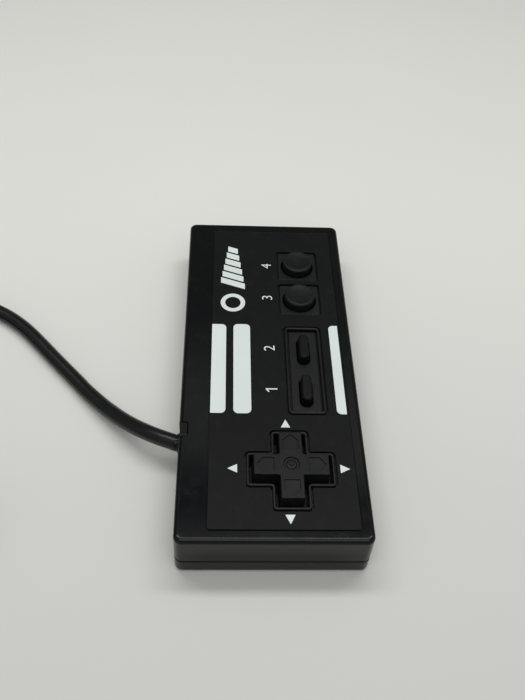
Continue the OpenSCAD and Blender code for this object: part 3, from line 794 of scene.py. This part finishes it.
def make_faceplate():
    bm = bmesh.new()
    low, high = PLATE_LOW.z, PLATE_HIGH.z
    under, over = loft(bm, PLATE, soften([(0, low, 0), (0, high, 0.08), (-0.4, high, 0)]))
    tops, bottoms = [], []
    for outline in (CROSS_RIM, KEY_BED, *BUTTON_PADS):
        top, bottom = loft(bm, outline, soften([(0.75, high, 0), (0.45, high, 0.06), (0.45, low, 0)]))
        tops.append(top)
        bottoms.append(bottom)
    fill(bm, over, *tops)
    fill(bm, under, *bottoms)
    return settle(piece("faceplate_film", bm, "film"), "case", "plate_print", "faceplate")


# ---- print on the faceplate ----

INK_LOW, INK_HIGH = PLATE_HIGH.z - 0.02, PLATE_HIGH.z + 0.03


def ink(bm, outline):
    block(bm, outline, [(0, INK_LOW), (0, INK_HIGH)])


def arrow_head(tip, toward, height=2.8, width=2.8):
    """A solid triangle with its tip at a point, pointing toward a unit direction."""
    tip, toward = Vector(tip), Vector(toward)
    side = Vector((-toward.y, toward.x)) * width / 2
    back = tip - toward * height
    return rounded([(*tip, 0.06), (*(back + side), 0.06), (*(back - side), 0.06)], 2)


def numeral(bm, text, at, size):
    data = bpy.data.curves.new("numeral", "FONT")
    data.body, data.size = text, size
    data.align_x, data.align_y = "CENTER", "CENTER"
    data.extrude, data.offset = (INK_HIGH - INK_LOW) / 2, -0.03
    drawn = in_scene("numeral", data)
    bpy.context.view_layer.update()
    mesh = evaluated_mesh(drawn)
    bpy.data.objects.remove(drawn)
    mesh.transform(Matrix.Translation((*at, (INK_LOW + INK_HIGH) / 2)))
    bm.from_mesh(mesh)


def make_print():
    bm = bmesh.new()
    edge_y = PLATE_HIGH.y - 0.08
    near_y = PLATE_LOW.y + 0.5
    ink(bm, rounded([(-22.05, 13.55, 1.5), (13.1, 13.55, 1.5), (13.1, edge_y, 0.05),
                     (-22.05, edge_y, 0.05)], 8))
    ink(bm, rectangle((-22.1, 5.8), (13.25, 11.2), 1.5, 8))
    ink(bm, rounded([(-22.1, near_y, 0.05), (13.1, near_y, 0.05), (13.1, -19.95, 1.5),
                     (-22.1, -19.95, 1.5)], 8))
    for tip, toward in (((-24.2, -4.2), (1, 0)), ((-57.9, -4.3), (-1, 0)), ((-40.85, 12.9), (0, 1)),
                        ((-40.85, -22.0), (0, -1))):
        ink(bm, arrow_head(tip, toward))
    for text, at in (("4", (40.7, -0.45)), ("3", (25.4, -0.4)), ("2", (3.2, -0.5))):
        numeral(bm, text, at, 5.0)
    one = [(0.3, -1.8), (0.75, -1.8), (0.75, 1.8), (0.45, 1.8), (-0.6, 1.05), (-0.6, 0.6), (0.3, 1.15)]
    ink(bm, rounded([(x - 13.5, y - 0.5, 0.03) for x, y in one], 1))
    make_ornament(bm)
    return piece("plate_ink", bm, "ink")


def make_ornament(bm):
    """A plain mark: a ring, then slanted bars that step down in length."""
    low_x, high_x, mid_y = 18.8, 53.0, 11.4
    ring_r, ring_w = 4.1, 1.5
    at = (low_x + ring_r, mid_y)
    outer = [ring(bm, circle(at, ring_r)(0), z) for z in (INK_LOW, INK_HIGH)]
    inner = [ring(bm, circle(at, ring_r - ring_w)(0), z) for z in (INK_HIGH, INK_LOW)]
    join_rings(bm, [*outer, *inner, outer[0]])
    start, slant, bar_w, count = low_x + 2 * ring_r + 2.2, 3.0, 2.6, 6
    pitch = (high_x - slant - start) / count
    for k in range(count):
        x, half = start + k * pitch, (8.2 - 0.95 * k) / 2
        lean = slant * half / 4.1
        low_y, high_y = mid_y - half, mid_y + half
        ink(bm, rounded([(x, low_y, 0.1), (x + bar_w, low_y, 0.1), (x + bar_w + lean, high_y, 0.1),
                         (x + lean, high_y, 0.1)], 2))


# ---- direction cross ----

def make_cross_pad():
    bm = bmesh.new()
    top_z = mm_box("cross_pad")[1].z
    body = plus(CROSS_AT, 21.5, 6.8, 0.55, 0.4)
    disc = circle(CROSS_AT, 12.9, 72)
    hub = circle(CROSS_AT, HUB_R, 48)
    foot, top = loft(bm, body, soften([
        (0.2, FLANGE_TOP, 0), (0, FLANGE_TOP + 0.3, 0), (-0.12, top_z, 0.28), (-0.55, top_z, 0)]))
    recesses = []
    for quarter in range(4):
        turn = Matrix.Rotation(quarter * pi / 2, 2)
        corners = [(4.9, -2.2), (8, -2.2), (9.9, 0), (8, 2.2), (4.9, 2.2)]
        spots = [turn @ Vector(c) + Vector(CROSS_AT) for c in corners]
        edge, floor = loft(bm, rounded([(*s, 0.2) for s in spots], 3), soften([
            (0.24, top_z, 0), (0.02, top_z, 0.11), (-0.04, top_z - 0.4, 0.08), (-0.3, top_z - 0.4, 0)]))
        fill(bm, floor)
        recesses.append(edge)
    dish_z = top_z - 0.5
    brim, bottom = loft(bm, circle(CROSS_AT, 2.35, 48), soften([
        (0.2, top_z, 0), (0, top_z, 0.08), (-0.15, dish_z, 0.08), (-0.75, dish_z, 0.1),
        (-1.0, dish_z + 0.26, 0.2), (-1.6, dish_z + 0.34, 0.3), (-1.95, dish_z + 0.16, 0.15),
        (-2.3, dish_z + 0.14, 0)]))
    fill(bm, bottom)
    fill(bm, top, *recesses, brim)
    under, over = loft(bm, disc, soften([
        (-0.5, FLANGE_Z, 0), (0, FLANGE_Z, 0.12), (0, FLANGE_TOP, 0.12), (-0.5, FLANGE_TOP, 0)]))
    fill(bm, over, foot)
    socket = bowl(BALL_R, PIVOT_Z, 96, 178, HUB_R)
    root, crown = loft(bm, hub, [
        *soften([(0.3, FLANGE_Z, 0), (0, FLANGE_Z - 0.3, 0), (0, PIVOT_Z + 0.25, 0.1),
                 (-1.1, PIVOT_Z + 0.25, 0)]), *socket])
    fill(bm, crown)
    fill(bm, under, root)
    return settle(piece("cross_pad_moulding", bm, "control"), "cross", "control_plastic", "cross_pad")


# ---- buttons and keys ----

def make_button(name):
    bm = bmesh.new()
    top_z = mm_box(name)[1].z
    at = BUTTON_AT[name]
    dish_r, dish_depth = 4.15, 0.42
    dish = [(dish_r * s - 5.2, top_z - dish_depth * (1 - s * s) - 0.02) for s in
            (0.97, 0.9, 0.8, 0.66, 0.5, 0.34, 0.18, 0.02)]
    first, last = loft(bm, circle(at, 5.2, 64), [
        *soften([(-1.5, FLANGE_Z, 0), (1.3, FLANGE_Z, 0.12), (1.3, FLANGE_TOP, 0.12), (0, FLANGE_TOP, 0.1),
                 (-0.06, top_z, 0.8), (-0.98, top_z, 0)]), *dish])
    fill(bm, last)
    stem = circle(at, 2.0, 32)
    root, end = loft(bm, stem, soften([(0.2, FLANGE_Z, 0), (0, FLANGE_Z - 0.2, 0), (0, FLANGE_Z - 0.9, 0.15),
                                       (-0.6, FLANGE_Z - 0.9, 0)]))
    fill(bm, end)
    fill(bm, first, root)
    return settle(piece(name + "_cap", bm, "control"), name, "control_plastic", name)


def make_key(name):
    bm = bmesh.new()
    top_z = mm_box(name)[1].z
    block(bm, key_outline(KEY_AT[name]), soften([
        (-1.2, FLANGE_Z, 0), (1.2, FLANGE_Z, 0.12), (1.2, FLANGE_TOP, 0.12), (0, FLANGE_TOP, 0.1),
        (-0.04, BED_Z, 0.4), (-0.2, top_z - 0.5, 0.3), (-0.6, top_z - 0.02, 0.4), (-1.6, top_z, 0)]))
    return settle(piece(name + "_cap", bm, "key_rubber"), name, "key_rubber", name)


# ---- cord's fittings ----

def make_grommet():
    """The block that closes the notch round the cord, the tab over it, and the jacket's last stretch."""
    bm = bmesh.new()
    blocks = (  # half width, from and to in Y inside the case's long face, corner radius, from and to in Z
        (3.6, WALL, 0.1, 0.3, SPLIT_Z + 0.3, 13.2),
        (2.3, 2.55, 0.25, 0.6, 13, CASE_H - 0.05),
        (5, WALL + 1.4, WALL + 0.1, 0.3, SPLIT_Z + 0.3, 14.2))
    for half, back, front, radius, low_z, high_z in blocks:
        slab(bm, rectangle((EXIT_X - half, OUTER_Y - back), (EXIT_X + half, OUTER_Y - front), radius),
             low_z, high_z, 0.2)
    jacket = bmesh.new()
    length = RUN[0][1] - JACKET_END_Y
    block(jacket, circle((0, 0), CORD_R, 28), [
        *soften([(-1.5, 0, 0), (0, 0, 0.15), (0, length - 0.95, 0), (0.5, length - 0.95, 0),
                 (0.4, length - 0.2, 0.2), (0, length - 0.1, 0)]),
        *bowl(CORD_R, length, 92, 178, CORD_R, 6)])
    jacket.transform(facing(EXIT_X, JACKET_END_Y, EXIT_Z))
    bm.from_mesh(as_mesh(jacket, "jacket_end"))
    return settle(piece("cord_grommet_moulding", bm, "case"), "case", "cord_pvc", "cord_grommet")


def make_tie():
    """A flat band drawn tight round the bundle of turns."""
    bm = bmesh.new()
    low_z = CORD_R + TIE_LIFT
    high_z = low_z + 0.98 * CORD_D
    bundle = rounded([(-6.4, low_z, 0), (8.35, low_z, 0), (4.5, high_z, 0), (-5.5, high_z, 0)], 8)
    inside, outside, half = CORD_R, CORD_R + 0.58, 2.5
    profile = soften([(inside, -half, 0), (outside, -half, 0.12), (outside, half, 0.12), (inside, half, 0)])
    first, last = loft(bm, bundle, profile)
    join_rings(bm, [last, first])
    turn = radians(TIE_ANGLE)
    middle = (COIL_AT[0] + TIE_R * cos(turn), COIL_AT[1] + TIE_R * sin(turn), 0)
    place = Matrix.Translation(middle) @ Matrix.Rotation(turn, 4, "Z") @ Matrix.Rotation(pi / 2, 4, "X")
    return settle(piece("coil_tie_band", bm, "jacket", place), "case", "cord_pvc", "coil_tie")


# ---- plug ----

def d_corners(width, height, radius=1.8):
    lean = height * tan(radians(10))
    return [(-width / 2, -height / 2, radius), (width / 2, -height / 2, radius),
            (width / 2 - lean, height / 2, radius), (-width / 2 + lean, height / 2, radius)]


def pin_places():
    """The middles of the nine contacts: a row of five, and a row of four above it."""
    return [((k - 2 + row / 2) * PIN_PITCH, (row - 0.5) * PIN_ROW_GAP)
            for row in (0, 1) for k in range(5 - row)]


def make_plug_body():
    bm = bmesh.new()
    well = oblong((0, 0), 18, 9.4, 2.4)
    rear = (oblong((0, 0), 24, 11.5, 3), [
        (-3, 0), (-1.6, 0), (-1.5, 0), (-0.9, 0.12), (-0.4, 0.5), (-0.1, 1.1), (0, 1.8), (0, 8.6), (0, 8.9)])
    front = (oblong((0, 0), 31, 13.5, 3), [
        (-0.9, 10.6), (-0.5, 10.85), (-0.15, 11.3), (0, 11.9), (0, 12.2), (0, PLUG_L - 1.0),
        (-0.12, PLUG_L - 0.5), (-0.5, PLUG_L - 0.1), (-0.9, PLUG_L), (-1.0, PLUG_L), (-1.2, PLUG_L)])
    rings = [ring(bm, outline(grow), z) for outline, steps in (rear, front) for grow, z in steps]
    first, face = join_rings(bm, rings)
    brim, bottom = loft(bm, well, soften([(0.4, PLUG_L, 0), (0, PLUG_L, 0.15), (0, PLUG_L - 2, 0)]))
    fill(bm, first)
    fill(bm, face, brim)
    fill(bm, bottom)
    return settle(piece("plug_moulding", bm, "plug", lying(PLUG_X, BOOT_Y[0], PLUG_MID_Z)),
                  "case", "plug_black", "plug_body")


def make_boot():
    """The tapered strain relief, slit into segments that let it bend."""
    bm = bmesh.new()
    length, count = BOOT_Y[1] - BOOT_Y[0], 6
    pitch = (length - 1.6) / count
    profile = [(-3, 0, 0), (0, 0, 0.1)]
    for k in range(count):
        rib, neck = 0.6 - 0.36 * k, -0.45 - 0.36 * k
        z = 0.4 + k * pitch
        profile += [(rib, z, 0.3), (rib - 0.1, z + pitch * 0.55, 0.3), (neck, z + pitch * 0.62, 0.12),
                    (neck - 0.08, z + pitch * 0.93, 0.12)]
    profile += [(-1.85, length - 0.9, 0.2), (-1.95, length, 0.3), (-2.6, length, 0)]
    block(bm, circle((0, 0), 4.6, 40), soften(profile))
    boot = piece("plug_boot_moulding", bm, "plug", facing(PLUG_X, BOOT_Y[0], PLUG_MID_Z))
    return settle(boot, "case", "plug_black", "plug_boot")


def make_plug_shell():
    bm = bmesh.new()
    lip = oblong((0, 0), 17.8, 9.2, 2.3)
    shell = rounded(d_corners(16.7, 8.3), 6)
    rings = [ring(bm, lip(grow), z) for grow, z in (
        (-0.9, -1.9), (-0.15, -1.9), (0, -1.75), (0, 0.3), (-0.1, 0.5), (-0.3, 0.6), (-0.5, 0.6))]
    rings += [ring(bm, shell(grow), z) for grow, z in (
        (0.25, 0.6), (0.08, 0.68), (0, 0.95), (0, 5.7), (-0.05, 5.9), (-0.2, 6), (-0.35, 5.95),
        (-0.5, 5.7), (-0.5, -1.9))]
    first, last = join_rings(bm, rings)
    join_rings(bm, [last, first])
    return settle(piece("plug_shell_pressing", bm, "steel", lying(PLUG_X, PLUG_FRONT_Y, PLUG_MID_Z)),
                  "case", "plug_steel", "plug_flange")


def make_insulator():
    bm = bmesh.new()
    back, face = loft(bm, rounded(d_corners(15.6, 7.2), 6), soften([
        (-0.5, -2, 0), (0, -2, 0.1), (0, 5.7, 0.15), (-0.5, 5.7, 0)]))
    mouths = []
    for at in pin_places():
        mouth, end = loft(bm, circle(at, 0.82, 20), soften([
            (0.3, 5.7, 0), (0.15, 5.7, 0), (0, 5.5, 0), (0, -1, 0)]))
        fill(bm, end)
        mouths.append(mouth)
    fill(bm, face, *mouths)
    fill(bm, back)
    insulator = piece("plug_insulator_block", bm, "insulator", lying(PLUG_X, PLUG_FRONT_Y, PLUG_MID_Z))
    return settle(insulator, "case", "chip_black", "plug_insulator")


# ---- pieces that repeat, by Geometry Nodes ----

def repeat_tree(name, sizes):
    """A tree whose inputs are the places to repeat at, the named sizes in millimetres, and a finish."""
    tree = bpy.data.node_groups.new(name, "GeometryNodeTree")
    tree.interface.new_socket("Places", in_out="INPUT", socket_type="NodeSocketGeometry")
    for label, value in sizes.items():
        kind, scale = ("NodeSocketInt", 1) if isinstance(value, int) else ("NodeSocketFloat", MM)
        tree.interface.new_socket(label, in_out="INPUT", socket_type=kind).default_value = value * scale
    tree.interface.new_socket("Finish", in_out="INPUT", socket_type="NodeSocketMaterial")
    tree.interface.new_socket("Pieces", in_out="OUTPUT", socket_type="NodeSocketGeometry")
    return tree, tree.nodes.new("NodeGroupInput").outputs, tree.nodes.new("NodeGroupOutput")


def end_tree(tree, given, out, one, **placing):
    """Puts one copy at each place, and ends with Realize Instances and Set Material."""
    copies = add(tree, "GeometryNodeInstanceOnPoints",
                 {"Points": given["Places"], "Instance": one, **placing})
    real = add(tree, "GeometryNodeRealizeInstances", {0: copies.outputs[0]})
    done = add(tree, "GeometryNodeSetMaterial", {"Geometry": real.outputs[0], "Material": given["Finish"]})
    tree.links.new(done.outputs[0], out.inputs[0])


def repeat(name, tree, places, sizes, look):
    """Runs the tree on these places and returns its plain mesh as an object."""
    mesh = bpy.data.meshes.new(name)
    mesh.from_pydata([Vector(p) * MM for p in places], [], [])
    made = in_scene(name, mesh)
    modifier = made.modifiers.new("repeat", "NODES")
    modifier.node_group = tree
    for item in tree.interface.items_tree:
        if item.in_out == "INPUT" and item.name in sizes:
            scale = 1 if isinstance(sizes[item.name], int) else MM
            modifier[item.identifier] = sizes[item.name] * scale
        elif item.name == "Finish":
            modifier[item.identifier] = FINISH[look]
    bpy.context.view_layer.update()
    plain = evaluated_mesh(made)
    made.modifiers.clear()
    made.data = plain
    reshade(plain)
    return made


def moved(tree, geometry, z):
    """The geometry raised by z."""
    lift = add(tree, "ShaderNodeCombineXYZ", {"Z": z}).outputs[0]
    return add(tree, "GeometryNodeTransform", {"Geometry": geometry, "Translation": lift}).outputs[0]


def round_section(tree, radius, points):
    return add(tree, "GeometryNodeCurvePrimitiveCircle",
               {"Resolution": points, "Radius": radius}).outputs["Curve"]


def sweep(tree, path, section, caps=True):
    return add(tree, "GeometryNodeCurveToMesh",
               {"Curve": path, "Profile Curve": section, "Fill Caps": caps}).outputs[0]


def make_screw_tree():
    """Pan-head screws with a cross drive and a rolled thread, points up. Turn 1 puts heads up."""
    sizes = {"Head Radius": 2.3, "Head Height": 1.5, "Shaft Radius": 1.2, "Shaft Length": 10.0,
             "Thread Pitch": 0.9, "Turn": 0}
    tree, given, out = repeat_tree("screws", sizes)
    head_r, head_h, length = given["Head Radius"], given["Head Height"], given["Shaft Length"]
    head = add(tree, "GeometryNodeMeshCone", {"Vertices": 32, "Radius Top": head_r,
               "Radius Bottom": times(tree, head_r, 0.72), "Depth": head_h}).outputs["Mesh"]
    head = moved(tree, head, times(tree, head_h, -1.0))
    drive = add(tree, "GeometryNodeJoinGeometry")
    for along in (0, 1):
        long, narrow = times(tree, head_r, 1.15), times(tree, head_r, 0.24)
        size = add(tree, "ShaderNodeCombineXYZ", {along: long, 1 - along: narrow, 2: head_h}).outputs[0]
        bar = add(tree, "GeometryNodeMeshCube", {"Size": size}).outputs["Mesh"]
        tree.links.new(moved(tree, bar, times(tree, head_h, -1.0)), drive.inputs[0])
    cut_head = add(tree, "GeometryNodeMeshBoolean", {"Mesh 1": head}, operation="DIFFERENCE")
    tree.links.new(drive.outputs[0], cut_head.inputs["Mesh 2"])
    core = times(tree, given["Shaft Radius"], 0.84)
    shaft = add(tree, "GeometryNodeMeshCone", {"Vertices": 24, "Radius Top": times(tree, core, 0.6),
                "Radius Bottom": core, "Depth": length}).outputs["Mesh"]
    shaft = moved(tree, shaft, times(tree, head_h, -0.05))
    turns = maths(tree, "DIVIDE", times(tree, length, 0.9), given["Thread Pitch"])
    helix = add(tree, "GeometryNodeCurveSpiral", {"Resolution": 20, "Rotations": turns, "Start Radius": core,
                "End Radius": times(tree, core, 0.62), "Height": times(tree, length, 0.94)}).outputs[0]
    ridge = round_section(tree, times(tree, given["Thread Pitch"], 0.24), 4)
    thread = sweep(tree, helix, ridge)
    whole = add(tree, "GeometryNodeJoinGeometry")
    for part in (thread, shaft, cut_head.outputs["Mesh"]):
        tree.links.new(part, whole.inputs[0])
    half_turn = times(tree, given["Turn"], pi)
    turn = add(tree, "ShaderNodeCombineXYZ", {"X": half_turn}).outputs[0]
    end_tree(tree, given, out, whole.outputs[0], Rotation=turn)
    return tree


def make_sleeve_tree():
    """Round sleeves, open at the end that a pin enters."""
    sizes = {"Radius": 0.66, "Wall": 0.26, "Length": 6.2}
    tree, given, out = repeat_tree("sleeves", sizes)
    path = round_section(tree, given["Radius"], 20)
    section = add(tree, "GeometryNodeCurvePrimitiveQuadrilateral",
                  {"Width": given["Wall"], "Height": given["Length"]}).outputs[0]
    end_tree(tree, given, out, sweep(tree, path, section, caps=False))
    return tree


def make_rib_tree():
    """Round-ended grip ribs that stand up at each place."""
    sizes = {"Height": 8.0, "Radius": 0.55}
    tree, given, out = repeat_tree("grip_ribs", sizes)
    low = add(tree, "ShaderNodeCombineXYZ", {"Z": times(tree, given["Height"], -0.5)}).outputs[0]
    high = add(tree, "ShaderNodeCombineXYZ", {"Z": times(tree, given["Height"], 0.5)}).outputs[0]
    line = add(tree, "GeometryNodeCurvePrimitiveLine", {"Start": low, "End": high}).outputs[0]
    section = round_section(tree, given["Radius"], 12)
    end_tree(tree, given, out, sweep(tree, line, section))
    return tree


def make_repeats():
    screws = make_screw_tree()
    sets = (
        ("case_screw_set", [(x, y, 2.4) for x, y in BOSS_AT], {"Turn": 0}, "case_screws"),
        ("board_screw_set", [(x, y, BOARD_TOP_Z) for x, y in BOARD_SCREW_AT],
         {"Head Radius": 1.9, "Head Height": 1.2, "Shaft Radius": 1.0, "Shaft Length": 5.0, "Turn": 1},
         "board_screws"),
        ("clamp_screw_set", [(EXIT_X + s * CLAMP_SCREW_REACH, CLAMP_Y, 13) for s in (-1, 1)],
         {"Head Radius": 1.6, "Head Height": 1.0, "Shaft Radius": 0.8, "Shaft Length": 8.0, "Turn": 1},
         "clamp_screws"))
    for name, places, sizes, node in sets:
        settle(repeat(name, screws, places, sizes, "steel"), "case", "screw_steel", node)
    sleeve_at = [(x, y, 2.1) for x, y in pin_places()]
    sleeves = repeat("contact_sleeves", make_sleeve_tree(), sleeve_at, {}, "gold")
    middle = Vector((PLUG_X, PLUG_FRONT_Y, PLUG_MID_Z)) * MM
    place = Matrix.Translation(middle) @ Matrix.Rotation(pi / 2, 4, "X")
    sleeves.data.transform(place)
    settle(sleeves, "case", "contact_gold", "plug_contacts")
    rib_at = [(PLUG_X + s * 15.35, PLUG_FRONT_Y + 4 + 2 * k, PLUG_MID_Z) for s in (-1, 1) for k in range(6)]
    ribs = repeat("plug_grip_ribs", make_rib_tree(), rib_at, {}, "plug")
    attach(ribs, "case")
    return sleeves, ribs


# ---- inside the case ----

INSIDE = {
    "cross_contacts": "carbon", "button_3_contact": "carbon", "button_4_contact": "carbon",
    "key_1_contact": "carbon", "key_2_contact": "carbon", "contact_pads": "carbon",
    "cross_mat": "silicone", "button_mat": "silicone", "key_mat": "silicone",
    "pivot_ball": "nylon", "cord_clamp": "nylon", "wire_header": "nylon",
    "circuit_board": "board", "encoder_chip": "chip", "resistors": "resistor",
    "capacitor": "sleeve", "lead_wires": "wires",
}


def finish_inside():
    for node, look in INSIDE.items():
        kept = NODES[node]
        if not kept.data.materials:
            kept.data.materials.append(FINISH[look])
        for slot in kept.material_slots:
            slot.material = FINISH[look]


# ---- table and light ----

def make_table():
    bm = bmesh.new()
    bmesh.ops.create_grid(bm, x_segments=2, y_segments=2, size=4)
    table = in_scene("table", as_mesh(bm, "table"))
    material = bpy.data.materials.new("table_top_painted_falloff")
    material.use_nodes = True
    tree = material.node_tree
    shader = tree.nodes["Principled BSDF"]
    # Painted shade: the table's colour darkens towards -X, the side nearest the camera, standing in for the
    # light falling off there
    near = ramp(tree, object_axis(tree, "X"), 0.12, -0.14)
    tone = mix(tree, near, (0.76, 0.76, 0.735, 1), (0.60, 0.605, 0.59, 1))
    tone = mix(tree, ramp(tree, noise(tree, 9.0, 3.0), 0.35, 0.7, 0, 0.04), tone, (0.5, 0.5, 0.5, 1))
    tree.links.new(tone, shader.inputs["Base Color"])
    shader.inputs["Roughness"].default_value = 0.75
    table.data.materials.append(material)


def make_light(name, at, aim_x, size, power, colour=(1, 1, 1)):
    """A rectangular lamp over the table, tipped to face the point at aim_x below its own line."""
    data = bpy.data.lights.new(name, "AREA")
    data.shape = "RECTANGLE"
    data.size, data.size_y = size
    data.energy, data.color = power, colour
    lamp = in_scene(name, data)
    lamp.location = at
    lamp.rotation_euler = (0, atan2(at[0] - aim_x, at[2]), 0)


def make_room():
    """Soft surroundings, bright behind the viewer and dim beyond the case, where its gloss looks.

    The dim side follows the sine of the height: plain to 0.74, brighter to 0.84, a dark bluish band
    near 0.865, and bright above it."""
    world = bpy.data.worlds.new("room")
    bpy.context.scene.world = world
    world.use_nodes = True
    tree = world.node_tree
    way = add(tree, "ShaderNodeSeparateXYZ", {0: add(tree, "ShaderNodeTexCoord").outputs["Generated"]})
    beyond = ramp(tree, way.outputs["Y"], 0.10, -0.22, 0.18, 0.23)
    height = add(tree, "ShaderNodeValToRGB", {"Fac": way.outputs["Z"]})
    steps = height.color_ramp.elements
    steps[0].position, steps[0].color = 0.74, (1, 1, 1, 1)
    steps[1].position, steps[1].color = 0.90, (3.8, 3.8, 3.7, 1)
    for place, tone in ((0.765, 1.5), (0.80, 3.6), (0.838, 3.9), (0.850, 2.6), (0.885, 2.2)):
        steps.new(place).color = (tone, tone, tone, 1)
    for place in (0.858, 0.872):
        steps.new(place).color = (0.15, 0.4, 0.65, 1)
    far_side = add(tree, "ShaderNodeVectorMath", {0: height.outputs["Color"], 3: beyond}, operation="SCALE")
    behind = ramp(tree, way.outputs["X"], 0.42, 0.05)
    room = mix(tree, behind, far_side.outputs[0], (0.39, 0.39, 0.38, 1))
    tree.links.new(room, tree.nodes["Background"].inputs["Color"])


def make_lighting():
    make_room()
    make_light("strip", (0.16, 0, 0.62), 0.0, (0.10, 0.74), 1.92, (1, 0.995, 0.965))
    make_light("overhead", (-0.28, 0.03, 0.62), 0.0, (0.3, 0.6), 1.26, (1, 1, 0.98))
    bpy.context.scene.view_settings.view_transform = "Standard"
    bpy.context.scene.view_settings.look = "None"


# ---- the whole controller ----

def main():
    make_top_shell()
    make_bottom_shell()
    make_saddle()
    make_faceplate()
    marks = make_print()
    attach(marks, "case")
    make_cross_pad()
    for name in BUTTON_AT:
        make_button(name)
    for name in KEY_AT:
        make_key(name)
    grommet = make_grommet()
    tie = make_tie()
    plug = [make_plug_body(), make_boot(), make_plug_shell(), make_insulator(), *make_repeats()]
    finish_inside()

    cord.data.materials.append(FINISH["jacket"])
    settle(cord, "case", "cord_pvc", "cord_run", "cord_coil", "cord_tail")
    make_table()
    make_lighting()


main()
